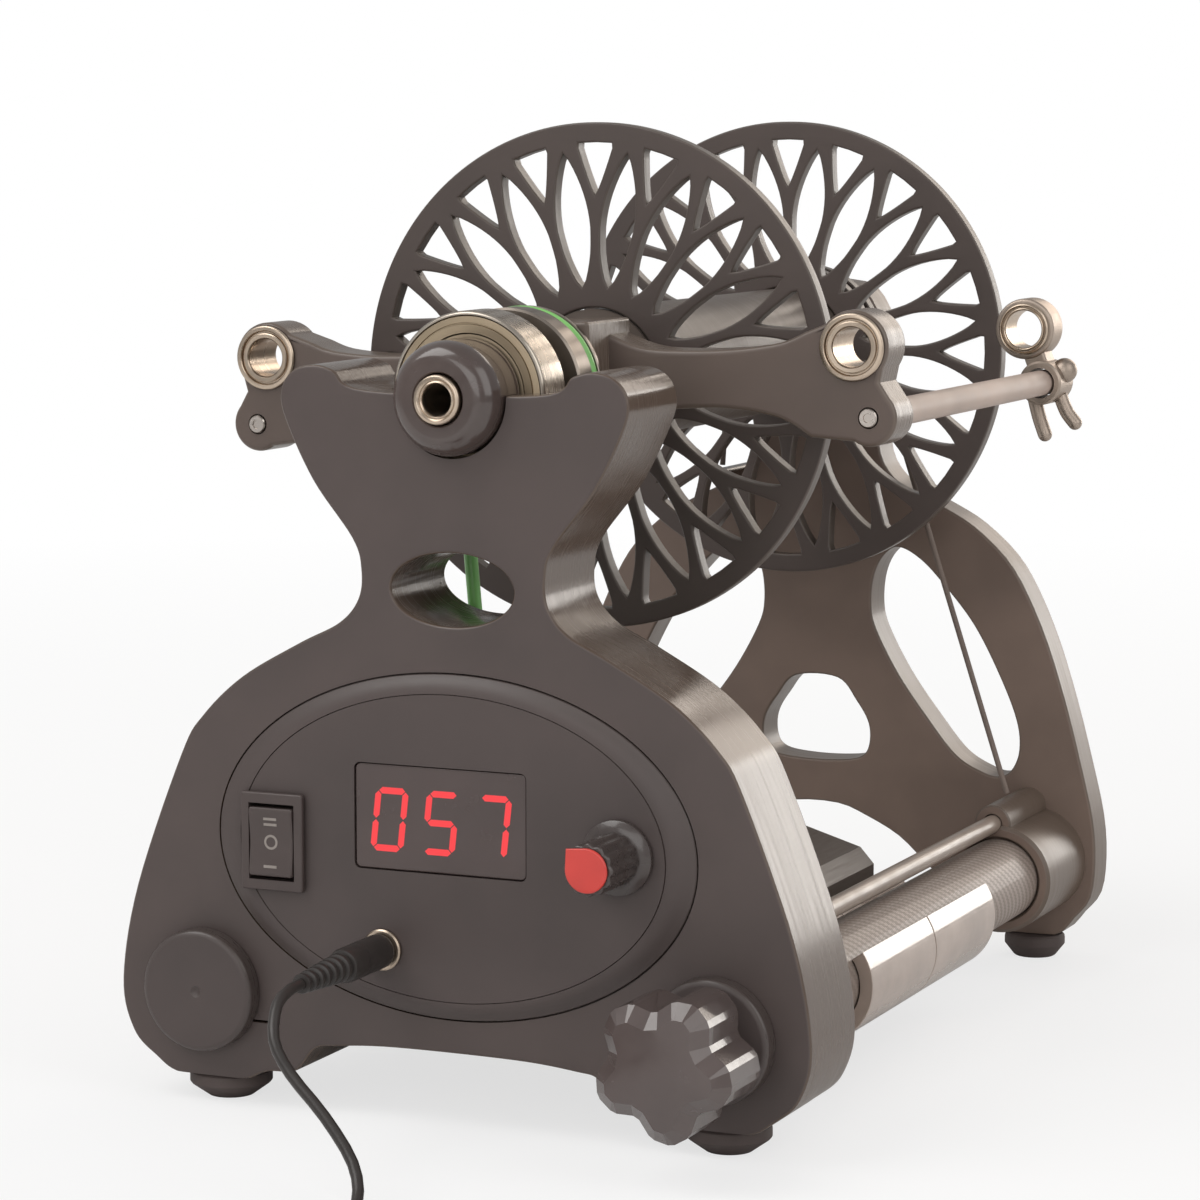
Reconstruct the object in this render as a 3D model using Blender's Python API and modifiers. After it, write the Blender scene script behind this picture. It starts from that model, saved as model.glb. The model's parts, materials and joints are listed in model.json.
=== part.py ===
"""Electric spinning wheel: a belt-driven flyer and bobbin between two frames on carbon tubes.

Metres, +Z up, +X to the spinner's right. Inside the model, y = 0 is the front face of the front
frame and y grows towards the rear frame. The model's own origin is under its middle.
"""
import math

import bmesh
import bpy
from mathutils import Matrix, Vector

# Clearances
seat_gap = 0.0003
overrun = 0.001
merge_distance = 0.00001
edge_angle = math.radians(35)

# Main line of the spin axis and the two frames
horn_rise = 0.006
frame_half_width = 0.080
frame_height = 0.160
frame_depth = 0.026
rear_inset = 0.005
rear_face_y = 0.2135
rear_depth = 0.011
rear_boss_radius = 0.018
floor_gap_height = 0.006

# Carbon tubes, their end caps and the tie rod
tube_inset = 0.0208
tube_height = 0.0252
tube_radius = 0.010
tube_wall = 0.0015
cap_radius = 0.0132
cap_depth = 0.0042
cap_round = 0.0012
cap_dimple_radius = 0.0012
cap_dimple_depth = 0.0006
socket_radius = 0.0133
socket_reach = 0.030
tie_rod_inset = 0.0018
tie_rod_height = 0.0388
tie_rod_radius = 0.0022
tie_rod_seat = 0.006
tie_lug_radius = 0.0046
clamp_slit = 0.0009
clamp_slit_height = 0.0190

# Steel half sleeves on the right tube
sleeve_wall = 0.0030
sleeve_stand_off = 0.031
sleeve_length = 0.042
sleeve_opening_angle = math.radians(110)

# Belt window in the neck of the front frame
window_width = 0.0282
window_height = 0.0154
window_drop = 0.0398

# Feet
foot_inset = 0.0007
foot_top_radius = 0.0090
foot_bottom_radius = 0.0050
rear_foot_top_radius = 0.0076
front_foot_y = 0.0095

# Control panel and the bay behind it
panel_to_tube = 0.0041
panel_half_height = 0.0365
panel_height = 0.0602
panel_rise = 0.0020
panel_inset = 0.0012
panel_face_share = 0.895
bay_side_ledge = 0.0039
bay_top_ledge = 0.0040
bay_back_wall = 0.0045

# Display
display_x = -0.0020
display_height = 0.0660
display_side = 0.0351
display_tall = 0.0228
display_recess = 0.0010
display_depth = 0.0100

# Rocker switch
switch_side = 0.0143
switch_height = 0.0590
switch_width = 0.0147
switch_tall = 0.0210
switch_rim = 0.0015
switch_body_width = 0.0128
switch_body_tall = 0.0190
switch_body_depth = 0.0140
rocker_width = 0.0102
rocker_tall = 0.0146
rocker_proud = 0.0007
rocker_depth = 0.0046
rocker_pivot_depth = 0.0032
rocker_end_gap = 0.0009
rocker_floor_gap = 0.0013

# Speed control
knob_side = 0.0165
knob_height = 0.0616
knob_skirt_radius = 0.0078
knob_skirt_depth = 0.0018
knob_radius = 0.0062
knob_flute = 0.0006
knob_flutes = 12
knob_length = 0.0150
knob_cap_radius = 0.0048
knob_cap_depth = 0.0022
pot_radius = 0.0080
pot_depth = 0.0090
pot_bush_radius = 0.0046
pot_shaft_radius = 0.0030
pot_shaft_reach = 0.0060

# Power socket, plug and board
jack_x = -0.0153
jack_height = 0.0378
jack_ring_radius = 0.0044
jack_ring_depth = 0.0009
jack_barrel_radius = 0.0038
jack_bore_radius = 0.0031
jack_depth = 0.0110
plug_pin_radius = 0.0028
plug_pin_length = 0.0090
plug_radius = 0.0037
plug_length = 0.0170
plug_round = 0.0006
relief_length = 0.0180
relief_start_radius = 0.0031
relief_end_radius = 0.0019
relief_rib = 0.0005
relief_ribs = 5
board_side = 0.0251
board_tall = 0.034
board_thickness = 0.0016

# Motor, its housing and the belt
belt_inset = 0.0085
belt_radius = 0.0015
motor_height = 0.0318
motor_radius = 0.0122
motor_length = 0.050
motor_set_back = 0.0105
motor_nose_radius = 0.0050
motor_nose_depth = 0.0020
motor_shaft_radius = 0.0012
motor_shaft_seat = 0.008
motor_pulley_radius = 0.0066
motor_pulley_groove_radius = 0.0031
motor_pulley_flange = 0.0022
housing_half_width = 0.0454
housing_bottom = 0.0170
housing_top = 0.0485
housing_length = 0.107
housing_wall = 0.0022
belt_slot_half_width = 0.0105
belt_slot_length = 0.0100

# Front bearing, rear bearing and the hub that carries the orifice
bearing_outer_radius = 0.0175
bearing_split_radius = 0.0128
bearing_width = 0.0110
bearing_front_y = 0.0082
bearing_chamfer = 0.0006
horn_width = 0.0221
shaft_tube_radius = 0.0080
shaft_rod_radius = 0.0040
orifice_bore_radius = 0.0031
orifice_ring_radius = 0.0052
orifice_ring_length = 0.0130
orifice_front_y = -0.0070
hub_radius = 0.0120
hub_front_y = -0.0060
hub_round = 0.0028
yarn_exit_radius = 0.0034
yarn_exit_inset = 0.0025
yarn_bore_reach = 0.0075
rear_bearing_radius = 0.0110
rear_bearing_split_radius = 0.0072
rear_bearing_width = 0.0070
collar_radius = 0.0082
collar_width = 0.0050

# Flyer
flyer_rest_angle = math.radians(-2.3)
pulley_clearance = 0.0010
pulley_width = 0.0116
pulley_radius = 0.0173
pulley_groove_radius = 0.0141
arm_hub_half_width = 0.0140
arm_hub_half_height = 0.0135
arm_hub_step = 0.0005
arm_stand_off = 0.0109
arm_depth = 0.0120
arm_reach = 0.0728
lug_drop = 0.0083
lug_radius = 0.0061
eyelet_reach = 0.0697
eyelet_rise = 0.0066
eyelet_radius = 0.0078
eyelet_bore_radius = 0.0062
insert_bore_radius = 0.0042
insert_lip_radius = 0.0072
insert_lip = 0.0006
arm_root_rise = 0.0066
arm_root_drop = 0.0060
rod_radius = 0.0030
rod_end_gap = 0.0335
rod_seat = 0.0095
rod_screw_radius = 0.0020
rod_screw_head = 0.0010

# Sliding yarn guides on the flyer's rods
guide_inset = 0.0060
guide_width = 0.0080
guide_grip_radius = 0.0052
guide_ring_x = 0.0687
guide_ring_rise = 0.0045
guide_ring_radius = 0.0072
guide_ring_bore = 0.0055
guide_insert_bore = 0.0044
guide_wire_radius = 0.0017
guide_ball_radius = 0.0030

# Bobbin
flange_radius = 0.0561
flange_thickness = 0.0040
flange_rim = 0.0044
flange_hub_radius = 0.0196
flange_rib = 0.0023
petal_half_width = 0.0040
petal_length_share = 0.94
rim_window_half_width = 0.0045
rim_window_start_share = 0.64
petal_count = 20
rear_flange_gap = 0.0227
core_radius = 0.0150
core_wall = 0.0030
nose_radius = 0.0128
nose_clearance = 0.0010
nose_length = 0.0104
bush_depth = 0.0120
brake_pulley_radius = 0.0206
brake_pulley_length = 0.0100
brake_groove_radius = 0.0178
brake_groove_width = 0.0028
brake_cord_radius = 0.0007

# Brake knob and the ends of the brake cord
knob_star_radius = 0.0154
knob_valley_radius = 0.0112
knob_lobes = 5
knob_star_front_y = -0.0310
knob_star_depth = 0.0210
knob_star_bevel = 0.0030
knob_star_turn = math.radians(-10)
knob_neck_radius = 0.0058
spindle_radius = 0.0030
spindle_reach = 0.0120
cord_foot_inset = 0.0014
post_side_share = 0.27733
post_height_share = 0.70116
post_radius = 0.0020

# Power lead: the free run, and the rest wound into a tied coil in front of the machine
lead_radius = 0.0012
lead_run = (
    (-0.0153, -0.0427, 0.0377),
    (-0.0150, -0.0490, 0.0358),
    (-0.0128, -0.0545, 0.0300),
    (-0.0078, -0.0570, 0.0242),
    (0.0012, -0.0598, 0.0172),
    (0.0092, -0.0634, 0.0096),
    (0.0132, -0.0695, 0.0040),
    (0.0140, -0.0790, 0.0016),
    (0.0134, -0.0930, 0.0013),
    (0.0122, -0.1110, 0.0015),
    (0.0120, -0.1270, 0.0021),
    (0.0120, -0.1335, 0.0024),
)
coil_spacing = 0.0029
coil_layers = 4
coil_layer_turns = 2.8125
coil_loop_points = 24
coil_middle_radius = 0.0156
tail_straight = 0.006
tail_fall = 0.018
tail_steps = 10
tie_thickness = 0.0008
tie_width = 0.0050
tie_clearance = 0.0007

# Outlines, as shares of a half width and a height, from the top round the right side. The horns and
# neck of the front frame are shares of the horns' half width, everything else of the frame's.
horn_outline_shares = (
    (0.4929, 0.969), (0.6929, 0.994), (0.8182, 1.000), (0.9354, 0.991), (1.0000, 0.966),
    (0.9778, 0.929), (0.8141, 0.849), (0.5838, 0.775), (0.5333, 0.735), (0.5515, 0.696),
)
front_outline_shares = (
    (0.330, 0.663), (0.448, 0.633), (0.619, 0.584), (0.740, 0.529), (0.810, 0.473),
    (0.950, 0.290), (1.000, 0.160), (0.970, 0.090), (0.900, 0.056), (0.820, 0.0355),
    (0.640, 0.0355), (0.560, 0.050), (0.470, 0.056), (0.413, 0.088), (0.350, 0.095),
    (0.175, 0.1015),
)
rear_outline_shares = (
    (0.120, 0.986), (0.208, 0.948), (0.240, 0.895), (0.228, 0.843), (0.215, 0.790),
    (0.225, 0.735), (0.275, 0.700), (0.360, 0.679), (0.460, 0.658), (0.560, 0.633),
    (0.675, 0.588), (0.752, 0.536), (0.826, 0.463), (0.891, 0.377), (0.947, 0.287),
    (0.989, 0.209), (1.000, 0.147), (0.985, 0.094), (0.930, 0.062), (0.860, 0.034),
    (0.680, 0.032), (0.620, 0.050), (0.530, 0.078), (0.400, 0.127), (0.304, 0.164),
    (0.190, 0.190), (0.080, 0.207),
)
rear_middle_hole_shares = (
    (0.075, 0.397), (0.145, 0.364), (0.190, 0.330), (0.190, 0.296), (0.155, 0.279), (0.060, 0.273),
)
rear_leaf_hole_shares = (
    (0.293, 0.597), (0.240, 0.584), (0.205, 0.553), (0.196, 0.509), (0.216, 0.472),
    (0.299, 0.406), (0.408, 0.342), (0.507, 0.292), (0.605, 0.269), (0.660, 0.265),
    (0.703, 0.276), (0.728, 0.306), (0.717, 0.350), (0.655, 0.415), (0.564, 0.487),
    (0.456, 0.544), (0.372, 0.580),
)
# Roof of the motor housing, as shares of its half width and of its height above its bottom
housing_roof_shares = (
    (1.000, 0.640), (0.925, 0.760), (0.604, 0.897), (0.300, 0.970), (0.000, 1.000),
)
# Side of the rocker, as shares of half its height and of its depth, from the lower front end
rocker_side_shares = (
    (-1.00, 0.08), (-0.90, 0.00), (0.00, 0.14), (0.90, 0.00), (1.00, 0.08),
    (1.00, 0.80), (0.80, 1.00), (-0.80, 1.00), (-1.00, 0.80),
)

# Sizes worked out from the ones above, across and up
spin_axis_height = frame_height - horn_rise
rear_height = spin_axis_height + rear_boss_radius
rear_half_width = frame_half_width - rear_inset
horn_half_width = bearing_outer_radius + horn_width
window_centre_height = spin_axis_height - window_drop
tube_x = frame_half_width - tube_inset
tie_rod_x = tube_x - tie_rod_inset
foot_x = tube_x - foot_inset
cord_foot_x = tie_rod_x - cord_foot_inset
panel_half_width = tube_x - panel_to_tube
bay_half_width = panel_half_width - bay_side_ledge
bay_half_height = panel_half_height - bay_top_ledge
display_width = 2 * (panel_half_width - display_side)
switch_x = switch_side - panel_half_width
knob_x = panel_half_width - knob_side
board_width = 2 * (panel_half_width - board_side)
post_x = -post_side_share * rear_half_width
post_height = post_height_share * rear_height

# Sizes worked out from the ones above, from the front to the rear
bay_depth = frame_depth - bay_back_wall
sleeve_start_y = frame_depth + sleeve_stand_off
housing_end_y = frame_depth + housing_length
pulley_front_y = frame_depth + pulley_clearance
pulley_rear_y = pulley_front_y + pulley_width
belt_y = pulley_front_y + belt_inset
motor_front_y = belt_y + motor_set_back
arm_front_y = pulley_rear_y + arm_stand_off
yarn_exit_y = arm_front_y + yarn_exit_inset
yarn_bore_end_y = arm_front_y + yarn_bore_reach
nose_y = arm_front_y + arm_depth + nose_clearance
front_flange_y = nose_y + nose_length
rear_flange_y = rear_face_y - rear_flange_gap
rod_end_y = rear_face_y - rod_end_gap
guide_y = rod_end_y - guide_inset
shaft_end_y = rear_face_y + rear_bearing_width
rear_back_y = rear_face_y + rear_depth
model_centre_y = (rear_back_y + knob_star_front_y) / 2
flyer_belt_radius = pulley_groove_radius + belt_radius + seat_gap
motor_belt_radius = motor_pulley_groove_radius + belt_radius + seat_gap
socket_front_y = rear_face_y - socket_reach
rear_foot_y = rear_back_y - rear_foot_top_radius
lead_diameter = 2 * lead_radius
coil_bottom = lead_radius + tie_thickness + tie_clearance - seat_gap
coil_width = coil_layer_turns * coil_spacing
coil_outer_radius = coil_middle_radius + coil_width / 2

parts = bpy.data.collections.new("spinning_wheel")
guides = bpy.data.collections.new("spinning_wheel_cutters")


def clear_scene():
    for thing in list(bpy.data.objects):
        bpy.data.objects.remove(thing, do_unlink=True)
    for collection in (parts, guides):
        bpy.context.scene.collection.children.link(collection)


def make_material(name, colour, roughness, metallic=0.0):
    material = bpy.data.materials.new(name)
    material.use_nodes = True
    shader = material.node_tree.nodes["Principled BSDF"]
    shader.inputs["Base Color"].default_value = (*colour, 1.0)
    shader.inputs["Roughness"].default_value = roughness
    shader.inputs["Metallic"].default_value = metallic
    material.diffuse_color = (*colour, 1.0)
    return material


def make_empty(name, parent=None, location=(0, 0, 0), rotation=(0, 0, 0)):
    empty = bpy.data.objects.new(name, None)
    empty.location = location
    empty.rotation_euler = rotation
    empty.parent = parent
    parts.objects.link(empty)
    return empty


def add_object(name, data, parent, location, rotation, look, collection=parts):
    """One object of the model, or a cutter when it has no look."""
    thing = bpy.data.objects.new(name, data)
    thing.parent = parent
    thing.location = location
    thing.rotation_euler = rotation
    (guides if look is None else collection).objects.link(thing)
    if look is None:
        thing.hide_render = True
        thing.display_type = "WIRE"
    else:
        data.materials.append(make_material(name, *look))
    return thing


facing_rear = (math.radians(-90), 0, 0)
facing_front = (math.radians(90), 0, 0)
straight_up = (0, 0, 0)


def turned(name, profile, parent, location, look, steps=24, closed=False, rotation=facing_rear):
    """A turned piece: (radius, distance along its axis) pairs run down the outer side."""
    mesh = bpy.data.meshes.new(name)
    points = [(radius, 0, along) for radius, along in profile]
    edges = [(i, i + 1) for i in range(len(points) - 1)]
    if closed:
        edges.append((len(points) - 1, 0))
    mesh.from_pydata(points, edges, [])
    thing = add_object(name, mesh, parent, location, rotation, look)
    screw = thing.modifiers.new("turn", "SCREW")
    screw.steps = steps
    screw.render_steps = steps
    screw.use_merge_vertices = True
    screw.merge_threshold = merge_distance
    screw.use_smooth_shade = True
    return thing


def ring(name, outer, inner, start, end, parent, location, look, steps=20, chamfer=0.0):
    """A turned ring between two distances along its axis, its outer edges chamfered."""
    profile = [(outer, end - chamfer), (outer, start + chamfer), (outer - chamfer, start),
               (inner, start), (inner, end), (outer - chamfer, end)]
    if chamfer == 0:
        profile = [(outer, end), (outer, start), (inner, start), (inner, end)]
    return turned(name, profile, parent, location, look, steps, closed=True)


def cylinder(name, radius, start, end, parent, location, look, steps=20, rotation=facing_rear):
    """A plain cylinder between two distances along its axis."""
    mesh = bpy.data.meshes.new(name)
    shape = bmesh.new()
    bmesh.ops.create_cone(shape, cap_ends=True, segments=steps, radius1=radius, radius2=radius,
                          depth=end - start, matrix=Matrix.Translation((0, 0, (start + end) / 2)))
    shape.to_mesh(mesh)
    shape.free()
    return smooth_round(add_object(name, mesh, parent, location, rotation, look))


def ball(name, radius, parent, location, look, steps=16):
    mesh = bpy.data.meshes.new(name)
    shape = bmesh.new()
    bmesh.ops.create_uvsphere(shape, u_segments=steps, v_segments=steps // 2, radius=radius)
    shape.to_mesh(mesh)
    shape.free()
    return smooth_round(add_object(name, mesh, parent, location, facing_rear, look))


def smooth_round(thing):
    """Round faces shade smooth, and flat ends stay flat."""
    thing.data.shade_smooth()
    thing.data.set_sharp_from_angle(angle=edge_angle)
    return thing


def box(name, size, parent, location, look, rotation=straight_up):
    mesh = bpy.data.meshes.new(name)
    shape = bmesh.new()
    bmesh.ops.create_cube(shape, size=1.0, matrix=Matrix.Diagonal((*size, 1.0)))
    shape.to_mesh(mesh)
    shape.free()
    return add_object(name, mesh, parent, location, rotation, look)


def rounded_box(name, size, parent, location, look, round_by, segments=2):
    thing = box(name, size, parent, location, look)
    bevel = thing.modifiers.new("round", "BEVEL")
    bevel.width = round_by
    bevel.segments = segments
    bevel.limit_method = "ANGLE"
    return thing


def smooth(points, steps, closed=True):
    """Points of a smooth curve that passes through the given ones."""
    count = len(points)
    result = []
    for index in range(count if closed else count - 1):
        if closed:
            a, b, c, d = (Vector(points[(index + k) % count]) for k in (-1, 0, 1, 2))
        else:
            a, b, c, d = (Vector(points[min(max(index + k, 0), count - 1)]) for k in (-1, 0, 1, 2))
        for step in range(steps):
            t = step / steps
            result.append(
                ((2 * b) + (c - a) * t + (2 * a - 5 * b + 4 * c - d) * t**2
                 + (3 * b - a - 3 * c + d) * t**3) / 2)
    if not closed:
        result.append(Vector(points[-1]))
    return result


def to_mesh(thing):
    """The curve object as a welded mesh object in the same place."""
    bpy.context.view_layer.update()
    source = thing.evaluated_get(bpy.context.evaluated_depsgraph_get())
    mesh = bpy.data.meshes.new_from_object(source)
    shape = bmesh.new()
    shape.from_mesh(mesh)
    bmesh.ops.remove_doubles(shape, verts=shape.verts, dist=merge_distance)
    shape.to_mesh(mesh)
    shape.free()
    result = bpy.data.objects.new(thing.name + "_mesh", mesh)
    for collection in thing.users_collection:
        collection.objects.link(result)
    result.parent = thing.parent
    result.matrix_world = thing.matrix_world
    result.hide_render = thing.hide_render
    result.display_type = thing.display_type
    name = thing.name
    bpy.data.objects.remove(thing, do_unlink=True)
    result.name = name
    return smooth_round(result)


def plate(name, loops, depth, parent, location, look, rotation=facing_front):
    """A flat outline with its holes, extruded along its axis about its middle."""
    curve = bpy.data.curves.new(name, "CURVE")
    curve.dimensions = "2D"
    curve.fill_mode = "BOTH"
    curve.extrude = depth / 2
    for loop in loops:
        spline = curve.splines.new("POLY")
        spline.points.add(len(loop) - 1)
        for point, place in zip(spline.points, loop):
            point.co = (place[0], place[1], 0, 1)
        spline.use_cyclic_u = True
    return to_mesh(add_object(name, curve, parent, location, rotation, look))


def wire(name, route, radius, parent, look, closed=False, sides=8, location=(0, 0, 0)):
    """A round wire along a route of points."""
    curve = bpy.data.curves.new(name, "CURVE")
    curve.dimensions = "3D"
    curve.bevel_depth = radius
    curve.bevel_resolution = (sides - 4) // 2
    curve.use_fill_caps = not closed
    spline = curve.splines.new("POLY")
    spline.points.add(len(route) - 1)
    for point, place in zip(spline.points, route):
        point.co = (*place, 1)
    spline.use_cyclic_u = closed
    return to_mesh(add_object(name, curve, parent, location, straight_up, look))


def combine(target, other, operation="DIFFERENCE"):
    boolean = target.modifiers.new(other.name, "BOOLEAN")
    boolean.operation = operation
    boolean.object = other
    boolean.solver = "EXACT"
    return boolean


def sized(shares, width, height):
    return [(x * width, z * height) for x, z in shares]


def mirrored(right):
    """A closed loop from the points of its right half."""
    return [Vector(p) for p in right] + [Vector((-x, z)) for x, z in reversed(right)]


def circle(radius, count=32, centre=(0, 0), turn=0.0):
    angles = [turn + 2 * math.pi * i / count for i in range(count)]
    return [(centre[0] + radius * math.cos(a), centre[1] + radius * math.sin(a)) for a in angles]


def ellipse(half_width, half_height, count=48):
    return [(half_width * x, half_height * z) for x, z in circle(1, count)]


# Looks: colour, roughness, metallic
black_plastic = ((0.072, 0.058, 0.052), 0.55)
smooth_black = ((0.035, 0.031, 0.030), 0.35)
dark_rubber = ((0.030, 0.028, 0.027), 0.80)
carbon = ((0.110, 0.095, 0.088), 0.35)
bright_steel = ((0.62, 0.60, 0.57), 0.22, 1.0)
dull_steel = ((0.42, 0.38, 0.34), 0.35, 1.0)
brass = ((0.55, 0.44, 0.30), 0.30, 1.0)
red_plastic = ((0.62, 0.045, 0.040), 0.40)
green_urethane = ((0.16, 0.52, 0.07), 0.45)
dark_lens = ((0.030, 0.012, 0.012), 0.15)
green_board = ((0.020, 0.130, 0.050), 0.50)
grey_cord = ((0.090, 0.080, 0.075), 0.70)


def make_front_frame(spinner):
    outline = mirrored(sized(horn_outline_shares, horn_half_width, frame_height)
                       + sized(front_outline_shares, frame_half_width, frame_height))
    window = [(x, z + window_centre_height) for x, z in ellipse(window_width / 2, window_height / 2, 24)]
    bores = [circle(tube_radius + seat_gap, 18, (side * tube_x, tube_height)) for side in (1, -1)]
    frame = plate("front_frame", [smooth(outline, 2), window, *bores], frame_depth, spinner,
                  (0, frame_depth / 2, 0), black_plastic)

    recess = plate("panel_recess", [ellipse(panel_half_width + seat_gap, panel_half_height + seat_gap, 40)],
                   overrun + panel_inset + seat_gap, spinner,
                   (0, (panel_inset + seat_gap - overrun) / 2, panel_height), None)
    bay = plate("bay", [ellipse(bay_half_width, bay_half_height, 28)], overrun + bay_depth, spinner,
                (0, (bay_depth - overrun) / 2, panel_height), None)
    pocket_front = bearing_front_y - seat_gap
    hub_way = plate("hub_way", [open_cradle(hub_radius + 2 * seat_gap)], pocket_front + 2 * overrun,
                    spinner, (0, pocket_front / 2, spin_axis_height), None)
    pocket = plate("bearing_pocket", [open_cradle(bearing_outer_radius + seat_gap)],
                   frame_depth - pocket_front + overrun, spinner,
                   (0, (frame_depth + pocket_front + overrun) / 2, spin_axis_height), None)
    slit_length = tube_x - tube_radius / 2 - frame_half_width * front_outline_shares[-3][0]
    for cutter in (recess, bay, hub_way, pocket):
        combine(frame, cutter)
    level_soles(frame, 0, frame_depth, spinner)
    for side in (1, -1):
        slit = box(f"clamp_slit_{side}", (slit_length + 2 * overrun, frame_depth + 2 * overrun, clamp_slit),
                   spinner, (side * (tube_x - tube_radius / 2 - slit_length / 2), frame_depth / 2,
                             clamp_slit_height), None)
        combine(frame, slit)
    rod_seat_hole = cylinder("tie_rod_front_seat", tie_rod_radius + seat_gap, frame_depth - tie_rod_seat,
                             frame_depth + overrun, spinner, (tie_rod_x, 0, tie_rod_height), None, 12)
    combine(frame, rod_seat_hole)
    return frame


def level_soles(frame, front, back, spinner):
    """Cuts a frame's two soles level where the rubber feet go on."""
    level = box(frame.name + "_soles", (3 * frame_half_width, back - front + 2 * overrun,
                                        2 * floor_gap_height), spinner, (0, (front + back) / 2, 0), None)
    combine(frame, level)


def open_cradle(radius, count=16):
    """A half round about the axis, open straight upwards."""
    low = [(radius * math.cos(a), radius * math.sin(a))
           for a in (math.pi + math.pi * i / count for i in range(count + 1))]
    return low + [(radius, radius), (-radius, radius)]


def make_rear_frame(spinner):
    outline = mirrored(sized(rear_outline_shares, rear_half_width, rear_height))
    middle = smooth(mirrored(sized(rear_middle_hole_shares, rear_half_width, rear_height)), 2)
    leaf = smooth(sized(rear_leaf_hole_shares, rear_half_width, rear_height), 2)
    other_leaf = [(-x, z) for x, z in leaf]
    frame = plate("rear_frame", [outline, middle, leaf, other_leaf], rear_depth,
                  spinner, (0, rear_face_y + rear_depth / 2, 0), black_plastic)
    level_soles(frame, rear_face_y, rear_back_y, spinner)
    for side in (1, -1):
        socket = cylinder(f"tube_socket_{side}", socket_radius, socket_front_y, rear_back_y - overrun,
                          spinner, (side * tube_x, 0, tube_height), None)
        combine(frame, socket, "UNION")
    lug = cylinder("tie_lug", tie_lug_radius, socket_front_y + overrun, rear_back_y - 2 * overrun, spinner,
                   (tie_rod_x, 0, tie_rod_height), None, 16)
    combine(frame, lug, "UNION")
    for side in (1, -1):
        bore = cylinder(f"tube_bore_{side}", tube_radius + seat_gap, socket_front_y - overrun,
                        rear_face_y + rear_depth / 2, spinner, (side * tube_x, 0, tube_height), None)
        combine(frame, bore)
    seat_end = socket_front_y + overrun + tie_rod_seat
    rod_hole = cylinder("tie_rod_rear_seat", tie_rod_radius + seat_gap, socket_front_y, seat_end, spinner,
                        (tie_rod_x, 0, tie_rod_height), None, 12)
    combine(frame, rod_hole)
    pocket = cylinder("rear_bearing_pocket", rear_bearing_radius + seat_gap, rear_face_y - overrun,
                      rear_face_y + rear_bearing_width + 2 * seat_gap, spinner,
                      (0, 0, spin_axis_height), None)
    combine(frame, pocket)
    post = cylinder("cord_post", post_radius, rear_face_y - brake_post_reach(), rear_face_y + rear_depth / 2,
                    spinner, (post_x, 0, post_height), None, 12)
    combine(frame, post, "UNION")
    return frame


def brake_groove_y():
    return rear_flange_y + flange_thickness + seat_gap + brake_pulley_length / 2


def brake_post_reach():
    return rear_face_y - brake_groove_y() + 2 * brake_cord_radius


def make_tubes(spinner):
    """The two carbon tubes, the caps on their front ends, the tie rod and the feet."""
    tube_end = rear_face_y + rear_depth / 2 - seat_gap
    for side, word in ((1, "right"), (-1, "left")):
        place = (side * tube_x, 0, tube_height)
        ring(f"tube_{word}", tube_radius, tube_radius - tube_wall, 0, tube_end, spinner, place, carbon)
    front = -seat_gap - cap_depth
    plug_radius_inside = tube_radius - tube_wall - seat_gap
    plain = [(0, cap_depth), (plug_radius_inside, cap_depth), (plug_radius_inside, -seat_gap),
             (cap_radius, -seat_gap), (cap_radius, front + cap_round),
             (cap_radius - cap_round / 3, front + cap_round / 3), (cap_radius - cap_round, front),
             (cap_dimple_radius, front), (0, front + cap_dimple_depth)]
    turned("tube_cap_left", plain, spinner, (-tube_x, 0, tube_height), black_plastic, 20)
    bored = plain[1:-2] + [(spindle_radius + seat_gap, front), (spindle_radius + seat_gap, cap_depth)]
    turned("tube_cap_right", bored, spinner, (tube_x, 0, tube_height), black_plastic, 20, closed=True)
    cylinder("tie_rod", tie_rod_radius, frame_depth - tie_rod_seat + seat_gap,
             socket_front_y + overrun + tie_rod_seat - seat_gap, spinner,
             (tie_rod_x, 0, tie_rod_height), bright_steel, 12)
    foot_top = floor_gap_height - seat_gap
    for y, top_radius, end in ((front_foot_y, foot_top_radius, "front"),
                               (rear_foot_y, rear_foot_top_radius, "rear")):
        foot = [(0, foot_top), (top_radius, foot_top), (top_radius, foot_top / 2),
                (foot_bottom_radius, 0), (0, 0)]
        for side, word in ((1, "right"), (-1, "left")):
            turned(f"foot_{end}_{word}", foot, spinner, (side * foot_x, y, 0), dark_rubber, 16,
                   rotation=straight_up)


def make_sleeves(spinner):
    """Two steel half sleeves clipped under the right tube."""
    inner = tube_radius + seat_gap
    outer = inner + sleeve_wall
    start = math.pi / 2 + sleeve_opening_angle / 2
    sweep = 2 * math.pi - sleeve_opening_angle
    count = 16
    angles = [start + sweep * i / count for i in range(count + 1)]
    section = ([(outer * math.cos(a), outer * math.sin(a)) for a in angles]
               + [(inner * math.cos(a), inner * math.sin(a)) for a in reversed(angles)])
    for index, word in enumerate(("front", "rear")):
        middle = sleeve_start_y + sleeve_length * (index + 1 / 2) + seat_gap * index
        plate(f"sleeve_{word}", [section], sleeve_length, spinner, (tube_x, middle, tube_height),
              bright_steel)


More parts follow.
